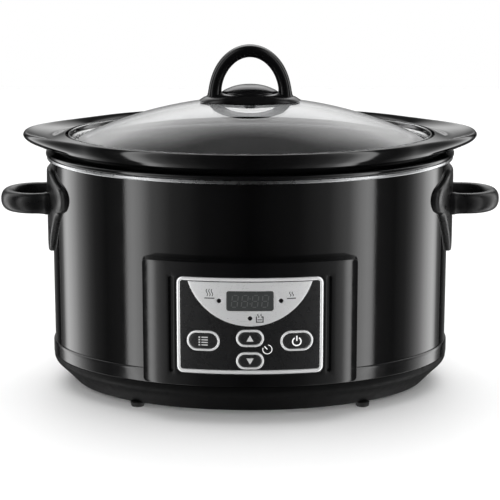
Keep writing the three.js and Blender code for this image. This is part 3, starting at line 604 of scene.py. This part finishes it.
def surround_light():
    """The drum's light: its strength is the stop at this angle, times the fade overhead,
    times the dark flag low down at the back."""
    glow = bpy.data.materials.new("surround_light")
    glow.use_nodes = True
    nodes, links = glow.node_tree.nodes, glow.node_tree.links
    nodes.clear()
    place = nodes.new("ShaderNodeTexCoord")
    split = nodes.new("ShaderNodeSeparateXYZ")
    links.new(place.outputs["Object"], split.inputs["Vector"])

    def maths(operation, first, second=None):
        """One operation on one or two values, each a number or a node's output."""
        node = nodes.new("ShaderNodeMath")
        node.operation = operation
        for socket, value in zip(node.inputs, (first, second)):
            if isinstance(value, (int, float)):
                socket.default_value = value
            elif value is not None:
                links.new(value, socket)
        return node.outputs["Value"]

    aside = maths("ABSOLUTE", split.outputs["X"])
    ahead = maths("MULTIPLY", split.outputs["Y"], -1.0)
    turn = maths("DIVIDE", maths("ARCTAN2", aside, ahead), math.pi)
    ramp = nodes.new("ShaderNodeValToRGB")
    links.new(turn, ramp.inputs["Fac"])
    elements = ramp.color_ramp.elements
    while len(elements) < len(SURROUND_STOPS):
        elements.new(0.5)
    for element, (degrees, level) in zip(elements, SURROUND_STOPS):
        element.position = degrees / 180
        element.color = (level, level, level, 1.0)
    fade = carried(glow, split.outputs["Z"], (1.9, 6.5, 1.0, 0.03), "SMOOTHSTEP")
    dark = carried(glow, split.outputs["Z"], (0.4, 2.1, 0.05, 1.0), "SMOOTHSTEP")
    flag = maths("MAXIMUM", dark, maths("LESS_THAN", turn, BACK_STARTS))
    light = nodes.new("ShaderNodeEmission")
    links.new(ramp.outputs["Color"], light.inputs["Color"])
    strength = maths("MULTIPLY", maths("MULTIPLY", fade, SURROUND_STRENGTH), flag)
    links.new(strength, light.inputs["Strength"])
    output = nodes.new("ShaderNodeOutputMaterial")
    links.new(light.outputs["Emission"], output.inputs["Surface"])
    return glow


def add_surround():
    """An upright drum of light round the part, in metres, seen in reflections alone. Its
    brightness follows the angle round from the front and dies away overhead. Low down at
    the back it is dark, which draws a dark edge round the glass."""
    radius, low, high = 2.5, -7.0, 9.0
    points, faces = turned_part([[radius, low], [radius, high]], steps=96)
    mesh = bpy.data.meshes.new("surround")
    mesh.from_pydata(points.tolist(), [], faces.tolist())
    mesh.materials.append(surround_light())
    drum = put("surround", mesh)
    drum.visible_camera = False
    drum.visible_diffuse = False
    drum.visible_transmission = False
    drum.visible_shadow = False


def add_world():
    """An even surround: white where it is seen, softer as it lights, dim in reflections."""
    world = bpy.data.worlds.new("world")
    bpy.context.scene.world = world
    world.use_nodes = True
    nodes, links = world.node_tree.nodes, world.node_tree.links
    ray = nodes.new("ShaderNodeLightPath")
    shader = nodes["Background"].outputs["Background"]
    nodes["Background"].inputs["Color"].default_value = (1, 1, 1, 1)
    nodes["Background"].inputs["Strength"].default_value = 1.0
    for kind, strength in (("Is Diffuse Ray", 0.74), ("Is Glossy Ray", 0.10),
                           ("Is Transmission Ray", 0.8)):
        part = nodes.new("ShaderNodeBackground")
        part.inputs["Color"].default_value = (1, 1, 1, 1)
        part.inputs["Strength"].default_value = strength
        mix = nodes.new("ShaderNodeMixShader")
        links.new(ray.outputs[kind], mix.inputs["Fac"])
        links.new(shader, mix.inputs[1])
        links.new(part.outputs["Background"], mix.inputs[2])
        shader = mix.outputs["Shader"]
    links.new(shader, nodes["World Output"].inputs["Surface"])


def add_stage():
    """A pale floor, a light above and a light in front, all in metres and watts."""
    mesh = bpy.data.meshes.new("floor")
    half = 1.6
    mesh.from_pydata([(-half, -half, 0), (half, -half, 0), (half, half, 0), (-half, half, 0)],
                     [], [(0, 1, 2, 3)])
    mesh.materials.append(new_finish("pale_floor", (0.9, 0.9, 0.9), 0.6))
    floor = put("floor", mesh)
    floor.visible_glossy = False
    add_softbox("top_box", (0, 0.6, 1.9), (2.8, 2.2), (0, 0, 0), 34)
    add_softbox("front_box", (0, -2.2, 0.8), (1.6, 0.8), (0, 0, 0.05), 22)
    add_surround()
    add_world()
    bpy.context.scene.view_settings.view_transform = "Standard"


add_camera()
add_stage()


# -------- body


def make_wall():
    """The painted steel wall, an oval tube."""
    bottom, thick = wall_low[2], 1.2
    profile = [at(0, bottom), at(0, WALL_TOP), at(-thick, WALL_TOP), at(-thick, bottom)]
    make_piece("painted_wall", [oval_part(profile, closed=True)], PAINT, "base",
               ["outer_wrap"])


def make_trim_ring():
    """A bead of half-round section on top of the wall."""
    low, high = ring_low[2], ring_high[2]
    out = ring_high[0] - HALF_LENGTH
    bow, inner = (high - low) * 0.49, -1.2
    profile = rounded([at(inner, low), at(out, low), at(out, high), at(inner, high)],
                      [0, bow, bow, 0], closed=True)
    make_piece("trim_ring", [oval_part(profile, closed=True)], RING, "base",
               ["top_trim_ring"])


def make_liner():
    """The heated pot: a thin cup whose rolled lip lies over the trim ring."""
    bottom, top = liner_low[2], liner_high[2]
    out = liner_high[0] - HALF_LENGTH
    under = ring_high[2] + GAP
    wall, thick, corner = -8.5, 1.0, 14.0
    inner, floor = wall - thick, bottom + thick
    points = [
        ring(0, 0, bottom), at(wall, bottom), at(wall, under), at(out, under),
        at(out, top), at(inner, top), at(inner, floor), ring(0, 0, floor),
    ]
    profile = rounded(points, [0, corner, 0.5, 1.3, 1.4, 1.2, corner - thick, 0])
    make_piece("heated_pot", [oval_part(profile)], ENAMEL, "base",
               ["heating_liner"])


def make_base():
    """The base moulding in two finishes: a gloss band, and a satin taper under its crease."""
    step, band_height, thick = 1.2, 10.8, 6.0
    seam, under = base_high[2] + step, base_low[2]
    band, inner = base_high[0] - HALF_LENGTH, -5.5
    crease = seam - band_height
    points = [
        at(inner, seam), at(band - 0.6, seam), at(band, seam - step), at(band, crease),
        at(inner, crease),
    ]
    profile = rounded(points, [0, 0.4, 1.0, 0.5, 0], 8, closed=True)
    make_piece("base_band", [oval_part(profile, closed=True)], BAND, "base",
               ["base_moulding"])
    foot_x, foot_y = HALF_LENGTH - 16.0, HALF_WIDTH - 11.0
    ledge, recess, floor = 13.5, under + 2.7, under + 5
    brow = crease - GAP
    points = [at(band - 0.2, brow), at(band - 0.6, brow - 5.5), at(-7.2, 13.0)]
    for inwards, z in ((0, under), (ledge, under), (ledge, recess), (ledge + thick, recess),
                       (ledge + thick, floor), (thick, floor)):
        points.append(ring(foot_x - inwards, foot_y - inwards, z))
    points.append(at(-7.0, brow))
    profile = rounded(points, [0.3, 5.0, 9.0, 0.6, 0.4, 0.3, 0.3, 0.3, 2, 0.5], closed=True)
    make_piece("base_taper", [oval_part(profile, closed=True)], TAPER, "base",
               ["base_moulding"])


def make_feet():
    """Four rubber feet: round discs with a shallow dish underneath."""
    tall, dish_depth = 3.7, 0.5
    for end in ("left", "right"):
        for side in ("front", "rear"):
            node = f"foot_{side}_{end}"
            low, high = box_mm(node)
            x, y = (low[:2] + high[:2]) / 2
            radius = (high[0] - low[0]) / 2
            profile = rounded([[0, 0.0], [radius - 0.5, 0.0], [radius, tall], [0, tall]],
                              [0, 1.0, 0.4, 0])
            dish = [[0, dish_depth], [radius * 0.45, dish_depth], [radius * 0.55, 0.0]]
            profile = np.concatenate([dish, profile[1:]])
            make_piece(f"rubber_{node}", [turned_part(profile, centre=(x, y, 0))], RUBBER,
                       "base", [node])


def make_gland():
    """A ribbed bush with a bore, round an axis along Y."""
    z = (gland_low[2] + gland_high[2]) / 2
    start, end = gland_low[1], gland_high[1]
    bore, flange, neck = 3.2, (gland_high[0] - gland_low[0]) / 2, 6.5
    outside, tail = HALF_WIDTH + GAP, neck - 0.6
    points = [[bore, start], [flange, start], [flange, start + 2.2], [neck, start + 2.2],
              [neck, outside], [flange, outside], [flange, outside + 2.4],
              [tail, outside + 2.6]]
    for k in range(3):
        y = outside + 3.4 + k * 2.2
        radius = tail - k * 0.45
        points += [[radius, y], [radius - 1.1, y + 0.4], [radius - 1.1, y + 1.0],
                   [radius - 0.3, y + 1.4]]
    points += [[4.7, end], [bore, end]]
    profile = rounded(points, [0.3] * len(points), 2, closed=True)
    profile = np.concatenate([profile, profile[:1]])
    make_piece("cord_bush", [turned_part(profile, "y", (0, 0, z))], RUBBER, "base",
               ["cord_gland"])


# -------- crock and lid


def make_crock():
    """A glazed oval pot with a collar that spreads into a spoon-shaped wing at each end."""
    bottom, top = crock_low[2], crock_high[2]
    collar = liner_high[2] + GAP
    seat, taper, floor, corner = top - SEAT_DEPTH, 3.0, bottom + 9.0, 14
    outside, cavity = -12.0, -19.0
    wing = WING_REACH
    corners = [
        (ring(0, 0, bottom), 0),
        (at(outside - taper, bottom), corner),
        (at(outside, collar), 0.6),
        (at(-2.4, collar), 1.2),
        (at(0.4, collar + 3.8, wing * 0.30), 4),
        (at(COLLAR_OUT - 0.5, collar + 8.2, wing * 0.90), 4),
        (at(COLLAR_OUT, top - 3.4, wing * 1.08), 3.2),
        (at(COLLAR_OUT - 1.2, top, wing), 1.8),
        (at(COLLAR_OUT - 4.6, top - 2.8, wing * 0.80), 3.0),
        (at(-5.4, top - 6.0, wing * 0.30), 4),
        (at(-8.6, top - 3.6, wing * 0.08), 2),
        (at(outside + 0.6, top - 2.2), 1.0),
        (at(outside, seat), 0.8),
        (at(cavity, seat), 1.2),
        (at(cavity - taper, floor), corner),
        (ring(0, 0, floor), 0),
    ]
    points, radii = zip(*corners)
    profile = rounded(points, radii, 10)
    make_piece("glazed_crock", [oval_part(profile)], GLAZE, "crock", ["stoneware_crock"])


DOME_OFFSET = -19.5
DOME_RISE = 32.3
GLASS_THICK = 3.6
DOME_START, OUTER_END, INNER_END = 0.12, 0.985, 0.93  # shares of the dome's half length


def dome_ring(share, drop=0.0):
    """A ring of the dome: its height falls from the crown as the square of its share."""
    z = lid_high[2] - DOME_RISE * share**2 - drop
    return ring((HALF_LENGTH + DOME_OFFSET) * share, (HALF_WIDTH + DOME_OFFSET) * share, z)


def make_lid_glass():
    """A parabolic dome of even thickness that turns up into a round bead at its edge."""
    hole, flat = 3.2, 10.0
    edge = lid_high[0] - HALF_LENGTH
    under = crock_high[2] - SEAT_DEPTH + GAP
    bead = under + 6.0
    top, bottom = lid_high[2], lid_high[2] - GLASS_THICK
    brim = rounded(
        [dome_ring(OUTER_END), at(DOME_OFFSET + 1.2, top - DOME_RISE + 0.2),
         at(edge - 2.9, under + 2.4), at(edge - 2.3, bead - 1.0), at(edge - 1.1, bead),
         at(edge, bead - 1.2), at(edge, under), at(-19.4, under),
         at(-19.9, bottom - DOME_RISE + 1.0), dome_ring(INNER_END, GLASS_THICK)],
        [0, 1.0, 1.0, 1.2, 0.9, 1.2, 0.6, 0.4, 0.8, 0],
    )
    profile = [ring(hole, hole, top), ring(flat, flat * 0.66, top - 0.05)]
    profile += [dome_ring(share) for share in np.linspace(DOME_START, OUTER_END, 36)]
    profile += list(brim[1:-1])
    inner_shares = np.linspace(INNER_END, DOME_START, 30)
    profile += [dome_ring(share, GLASS_THICK) for share in inner_shares]
    profile += [ring(flat, flat * 0.66, bottom - 0.05), ring(hole, hole, bottom)]
    make_piece("glass_dome", [oval_part(profile, closed=True)], GLASS, "lid", ["lid_glass"])


def make_lid_handle():
    """An oval saucer with a raised cap, and a loop that stands on it: half an ellipse on
    two short legs, with a super-ellipse for its section that swells towards its feet."""
    half_l, half_w, top = knob_high
    rim = knob_low[2]
    crown = lid_high[2]
    points = [
        ring(0, 0, crown + 0.3), ring(half_l * 0.5, half_w * 0.5, crown + 0.2),
        ring(half_l - 0.5, half_w - 0.5, rim), ring(half_l, half_w, rim + 0.5),
        ring(half_l - 3.4, half_w - 2.2, rim + 2.8), ring(29, 20, rim + 5.6),
        ring(22.3, 18.0, 236.2), ring(21.4, 17.2, 237.4), ring(15, 12, 240.4),
        ring(8, 6.4, 242.2), ring(0, 0, 242.5),
    ]
    radii = [0, 3, 0.3, 0.3, 2, 3, 0.6, 1.2, 4, 4, 0]
    saucer = oval_part(rounded(points, radii, 8))
    foot, thick, depth, swell = 233.5, 10.0, 13.0, 3.0
    half = 33.0 - thick / 2
    rise = top - thick / 2 - foot
    angle = np.linspace(0, np.pi, 97)
    bow = np.stack([half * np.cos(angle), 0 * angle, foot + rise * np.sin(angle)], -1)
    leg = np.linspace(-3.5, -0.4, 6)[:, None] * [0, 0, 1]
    path = np.concatenate([bow[:1] + leg, bow, bow[-1:] + leg[::-1]])
    near_foot = np.exp(-np.maximum(path[:, 2] - foot, 0) / swell)
    loop = sweep_part(path, (0, 1, 0), oval_section(thick / 2, depth / 2, 2.6),
                      1 + 0.22 * near_foot, 1 + 0.3 * near_foot)
    make_piece("lid_loop_handle", [saucer, loop], LOOP, "lid", ["lid_handle"])


# -------- side handles


def mount_outline():
    """The shield-shaped plate's edge in Y and Z, as a curve through its chosen points."""
    half = grip_high[1]
    low, high = grip_low[2] - 0.6, grip_high[2]
    ear = (low + high) / 2 + 14.5
    right = [[14, low + 0.6], [20, low + 6], [half * 0.76, ear - 15], [half * 0.93, ear - 8.5],
             [half, ear], [half * 0.93, ear + 8], [half * 0.70, ear + 13.5], [20, high]]
    left = [[-y, z] for y, z in right[::-1]]
    return closed_spline([[0, low + 0.3], *right, [0, high + 0.2], *left], 10)


def side_point(y, z, offset):
    """The point on the right end of the body at y and z, at an offset from the oval."""
    share = y / (HALF_WIDTH + offset)
    x = (HALF_LENGTH + offset) * np.sqrt(np.maximum(0, 1 - share**2))
    return np.stack([x, y, z], -1)


def mount_plate():
    """The plate: rings drawn in from its edge towards its middle, laid on the wall's oval.
    They run from the middle of its back, over its rounded edge, to the middle of its face."""
    back, face, brow = 0.1, 4.2, 7.0
    middle = np.array([0, 146.0])
    reach = mount_outline() - middle
    length = np.linalg.norm(reach, axis=1, keepdims=True)
    shares = [(share, back) for share in (0.0, 0.4, 0.8)]
    for inset, offset in ((0.0, back), (0.0, 2.0), (0.35, 3.1), (1.1, 3.75), (2.2, 4.0),
                          (brow, face)):
        shares.append((1 - inset / length, offset))
    for share in (0.8, 0.55, 0.3, 0.1, 0.0):
        shares.append(((1 - brow / length) * share, face))
    rings = [side_point(*(middle + reach * share).T, offset) for share, offset in shares]
    return grid_part(np.stack(rings))


def grip_loop():
    """The grip: two arms joined by a half circle, level all the way, whose super-ellipse
    section swells where it leaves the plate."""
    low, high = 142.5, 158.9
    width, half, start, arm_points = 11.5, 28.0, 150.0, 24
    wall, swell = 162.0, 2.4
    arm = half - width / 2
    end_x = grip_high[0] - half
    angle = np.linspace(-np.pi / 2, np.pi / 2, 61)
    bend = np.stack([end_x + arm * np.cos(angle), arm * np.sin(angle)], -1)
    straight = np.linspace(start, end_x - 0.7, arm_points)
    near = np.stack([straight, np.full(arm_points, -arm)], -1)
    far = np.stack([straight[::-1], np.full(arm_points, arm)], -1)
    path = np.concatenate([near, bend, far])
    path = np.column_stack([path, np.full(len(path), (low + high) / 2)])
    root = np.exp(-np.maximum(path[:, 0] - wall, 0) / swell)
    return sweep_part(path, (0, 0, 1), oval_section(width / 2, (high - low) / 2, 2.15),
                      1 + 0.12 * root, 1 + 0.10 * root)


def make_side_handle(name, turn):
    """A plate curved to the wall with the grip that grows out of it, turned to its end."""
    parts = [(points * [turn, turn, 1], faces) for points, faces in (mount_plate(), grip_loop())]
    make_piece(f"grip_{name}", parts, HANDLE, "base", [f"side_handle_{name}"])


# -------- control panel

PANEL_Z = (bezel_low[2] + bezel_high[2]) / 2
PANEL_LENGTH = 2 * bezel_high[0]
PANEL_HEIGHT = bezel_high[2] - bezel_low[2]
PANEL_CORNER = 5.0
BEZEL_WIDTH = 2.8
CAP_FACE = BUTTON_FACE - 0.4


def panel_outline(inset):
    """The panel's outline function, with the whole panel drawn in by an inset."""
    return box_outline(0, PANEL_Z, PANEL_LENGTH - 2 * inset, PANEL_HEIGHT - 2 * inset,
                       PANEL_CORNER - inset, 40, 20)


def place_on_front(node):
    """The middle of a node in X and Z, and its length and height."""
    low, high = box_mm(node)
    x, z = (low[[0, 2]] + high[[0, 2]]) / 2
    return x, z, high[0] - low[0], high[2] - low[2]


def button_places():
    """Each button's name, middle and full size, from its ring in the model."""
    names = ("menu", "up", "down", "power")
    return [(name, *place_on_front(f"{name}_button_ring")) for name in names]


def light_places():
    """Each indicator light's node, middle and radius."""
    places = []
    for node in ("high_heat_light", "low_heat_light", "warm_light"):
        x, z, _, height = place_on_front(node)
        places.append((node, x, z, height / 2))
    return places


def display_outline(grow):
    """The outline function of the display window, grown on all sides."""
    _, z, length, height = place_on_front("display_lens")
    return box_outline(0, z, length + 2 * grow, height + 2 * grow, 1.5 + grow, 16, 8)


def make_housing():
    """The housing round the panel, with a groove cut down each side of it. Towards each
    end its face falls back by the fall times the square of the distance."""
    low, high = housing_low, housing_high
    groove_x, groove_width, groove_depth, groove_corner = high[0] - 21.9, 3.4, 3.2, 1.4
    fall, fall_start = 0.0085, high[0] - 14.5
    outer = box_outline(0, (low[2] + high[2]) / 2, 2 * high[0], high[2] - low[2], 3.0, 60, 30)
    grooves = []
    for x in (-groove_x, groove_x):
        groove = box_outline(x, PANEL_Z, groove_width, PANEL_HEIGHT, groove_corner, 2, 24)
        grooves.append((groove, HOUSING_FACE - groove_depth))
    parts = front_sheet(outer, [panel_outline(-GAP)], HOUSING_FACE, 0.2, 0.25, 4.0, grooves)
    for points, _ in parts:
        proud = points[:, 1] < front(points[:, 0], points[:, 2], HOUSING_FACE / 2)[:, 1]
        past = np.maximum(0, np.abs(points[:, 0]) - fall_start)
        points[:, 1] += np.where(proud, fall * past**2, 0)
    make_piece("panel_housing", parts, HOUSING, "base", ["control_housing"])


def bead_rings(outline, width, face, edge, back):
    """Rings round a frame whose front is a low crown between two rounded edges: half a
    super-ellipse from the outer edge to the inner one, then straight back."""
    rings = []
    for angle in np.linspace(0, np.pi, 17):
        across, up = np.cos(angle), np.sin(angle)
        inset = width / 2 * (1 - np.sign(across) * np.abs(across) ** 0.8)
        rings.append(front(*outline(inset)().T, face - edge + edge * up**0.8))
    rings.append(front(*outline(width)().T, back))
    rings.append(front(*outline(0)().T, back))
    return np.stack(rings)


def make_bezel():
    """The bright frame: a rounded bead carried round the panel's edge."""
    rings = bead_rings(panel_outline, BEZEL_WIDTH, BEZEL_FACE, 1.0, 7.7)
    make_piece("bezel_bead", [grid_part(rings, wrap_rows=True)], BRIGHT, "base",
               ["bezel_frame"])


def make_fascia():
    """The dark printed panel, with a hole for each button."""
    holes = [stadium_outline(x, z, length + 2 * GAP, height + 2 * GAP)
             for _, x, z, length, height in button_places()]
    parts = front_sheet(panel_outline(BEZEL_WIDTH + 0.1), holes, FASCIA_FACE,
                        FASCIA_FACE - 2.4, 0.15, 3.0)
    make_piece("fascia_sheet", parts, FASCIA, "base", ["fascia_panel"])


def make_arc():
    """The silver part-disc: a circular arc below, and the frame's inner edge above."""
    low, high = arc_low, arc_high
    sagitta = high[2] - low[2]
    radius = (high[0] ** 2 + sagitta**2) / (2 * sagitta)
    half = math.asin(high[0] / radius)

    def outline(inset=0.0):
        """The arc from left to right, then back along the top."""
        angle = np.linspace(-np.pi / 2 - half, -np.pi / 2 + half, 61)
        arc = np.stack([np.cos(angle), np.sin(angle)], -1) * (radius - inset)
        arc = arc + [0, low[2] + radius]
        x = np.linspace(arc[-1, 0], arc[0, 0], 42)[1:-1]
        top = np.stack([x, np.full(len(x), arc[0, 1] - inset * 0.2)], -1)
        return np.concatenate([arc, top])

    holes = [disc_outline(x, z, r + GAP) for _, x, z, r in light_places()]
    holes.append(display_outline(GAP))
    parts = front_sheet(outline, holes, ARC_FACE, FASCIA_FACE + 0.02, 0.18, 2.0)
    make_piece("arc_sheet", parts, SILVER, "base", ["arc_panel"])


def seven_segments(x, z, width, height):
    """The seven bars of a figure eight, leaning a little."""
    thick, lean = width * 0.17, 0.12
    bars = []
    for dz in (-height / 2, 0, height / 2):
        bars.append(bar(x, z + dz, width * 0.62, thick))
    for side in (-1, 1):
        for dz in (-height / 4, height / 4):
            bars.append(bar(x + side * width / 2, z + dz, thick, height * 0.38))
    return [b + np.stack([(b[:, 1] - z) * lean, 0 * b[:, 0]], -1) for b in bars]


def make_display():
    """The display window, with four unlit figures and a colon on it."""
    z, face = place_on_front("display_lens")[1], ARC_FACE + 0.1
    figure_width, figure_height = 4.4, 9.2
    parts = front_sheet(display_outline(0.0), [], face, ARC_FACE - 1.5, 0.3, 2.0)
    make_piece("display_window", parts, DISPLAY, "base", ["display_lens"])
    loops = []
    for x in (-11.4, -3.9, 3.9, 11.4):
        loops += seven_segments(x, z, figure_width, figure_height)
    for dz in (-1.9, 1.9):
        loops.append(disc_outline(0.1, z + dz, 0.5, 12)())
    make_piece("display_figures", print_mark(loops, face), SEGMENT, "base", ())


def make_lights():
    """Three small lenses: a quarter ellipse turned about Y, on a straight stem."""
    rise, stem = 0.5, 4
    for node, x, z, radius in light_places():
        y = front(x, z, ARC_FACE)[1]
        angle = np.linspace(0, np.pi / 2, 8)
        dome = np.stack([radius * np.sin(angle), y - rise * np.cos(angle)], -1)
        profile = np.concatenate([dome, [[radius, y + stem], [0, y + stem]]])
        make_piece(f"{node}_dome", [turned_part(profile, "y", (x, 0, z), 32)], LENS, "base",
                   [node])


def make_buttons():
    """Each button: a bright bead for its ring, and a cap with well rounded edges."""
    width, clearance = 1.7, 0.35
    for name, x, z, length, height in button_places():

        def outline_at(inset, x=x, z=z, length=length, height=height):
            """The outline function of this button's ring, drawn in by an inset."""
            return stadium_outline(x, z, length - 2 * inset, height - 2 * inset)

        rings = bead_rings(outline_at, width, ARC_FACE + 0.4, 0.7, 8.0)
        make_piece(f"{name}_ring", [grid_part(rings, wrap_rows=True)], BRIGHT, "base",
                   [f"{name}_button_ring"])
        outline = outline_at(width + clearance)
        parts = front_sheet(outline, [], CAP_FACE, 6.4, 0.7, 1.5)
        make_piece(f"{name}_cap", parts, BUTTON, f"{name}_button", [f"{name}_button"])


# -------- printed signs


def wave(x, z, height):
    """One full sine wave that rises from x and z."""
    swing = thick = 0.55
    t = np.linspace(0, 1, 17)
    return stroke(np.stack([x + swing * np.sin(t * 2 * np.pi), z + height * t], -1), thick)


def heat_sign(x, z, length, waves, height):
    """Rising waves over a level line."""
    loops = [bar(x, z, length, 0.75)]
    for k in range(waves):
        loops.append(wave(x + (k - (waves - 1) / 2) * 1.9, z + 1.6, height))
    return loops


def arc_stroke(x, z, radius, start, end, width):
    """A line bent along a circle, between two angles in degrees."""
    angle = np.radians(np.linspace(start, end, 33))
    path = np.stack([x + radius * np.cos(angle), z + radius * np.sin(angle)], -1)
    return stroke(path, width)


def arrow(x, z, up):
    """A triangle that points up, or down where up is -1."""
    half, foot, tip = 2.7, z - 2.2 * up, z + 2.6 * up
    return np.array([[x - half, foot], [x + half, foot], [x, tip]][::up])


def make_button_signs():
    """A list, a standby sign and two arrows, each on its own button's cap."""
    places = {name: (x, z) for name, x, z, _, _ in button_places()}
    x, z = places["menu"]
    listed = []
    for dz in (3.0, 1.0, -1.0, -3.0):
        listed.append(bar(x - 2.9, z + dz, 1.3, 1.1))
        listed.append(bar(x + 1.1, z + dz, 4.8, 0.8))
    x, z = places["power"]
    power = [arc_stroke(x, z - 0.3, 3.2, 120, 420, 1.0), bar(x, z + 2.2, 1.0, 4.2)]
    signs = [("menu", listed, PALE_INK), ("power", power, WHITE_INK),
             ("up", [arrow(*places["up"], 1)], PALE_INK),
             ("down", [arrow(*places["down"], -1)], PALE_INK)]
    for name, loops, ink in signs:
        make_piece(f"{name}_sign", print_mark(loops, CAP_FACE), ink, f"{name}_button", ())


def make_panel_signs():
    """A clock by the arrows, and signs for high heat, low heat and warming on the silver."""
    x, z = 13.1, 59.0
    clock = [arc_stroke(x, z, 3.5, -200, 80, 0.6), stroke([[x, z], [x - 2.2, z + 2.4]], 0.7)]
    make_piece("timer_sign", print_mark(clock, FASCIA_FACE), WHITE_INK, "base", ())
    x, z = 7.3, 80.6
    pot = [bar(x, z, 5.8, 0.8), bar(x - 2.5, z + 2.2, 0.8, 4.4), bar(x + 2.5, z + 2.2, 0.8, 4.4),
           bar(x, z + 1.8, 3.4, 0.7), wave(x - 1.1, z + 3.4, 2.9), wave(x + 1.3, z + 3.4, 2.9)]
    signs = heat_sign(-30.4, 98.8, 7.6, 3, 5.4) + heat_sign(31.1, 98.6, 6.7, 2, 3.4) + pot
    make_piece("heat_signs", print_mark(signs, ARC_FACE), DARK_INK, "base", ())


make_wall()
make_trim_ring()
make_liner()
make_base()
make_feet()
make_gland()
make_crock()
make_lid_glass()
make_lid_handle()
make_side_handle("right", 1)
make_side_handle("left", -1)
make_housing()
make_bezel()
make_fascia()
make_arc()
make_display()
make_lights()
make_buttons()
make_button_signs()
make_panel_signs()


# -------- model's own pieces

CARRIED = {
    "plated_steel": PLATED,
    "circuit_board": BOARD,
    "grey_component": GREY,
    "copper_winding": WINDING,
    "bright_trim": BRIGHT,
}


def finish_carried_nodes():
    """A finish by material slot on each node that no new piece stands for."""
    for part in frame["record"]["subparts"]:
        finish = CARRIED.get(part["material_slot"])
        node = frame["nodes"].get(part["node"])
        if finish and node:
            for slot in node.material_slots:
                slot.material = finish


finish_carried_nodes()
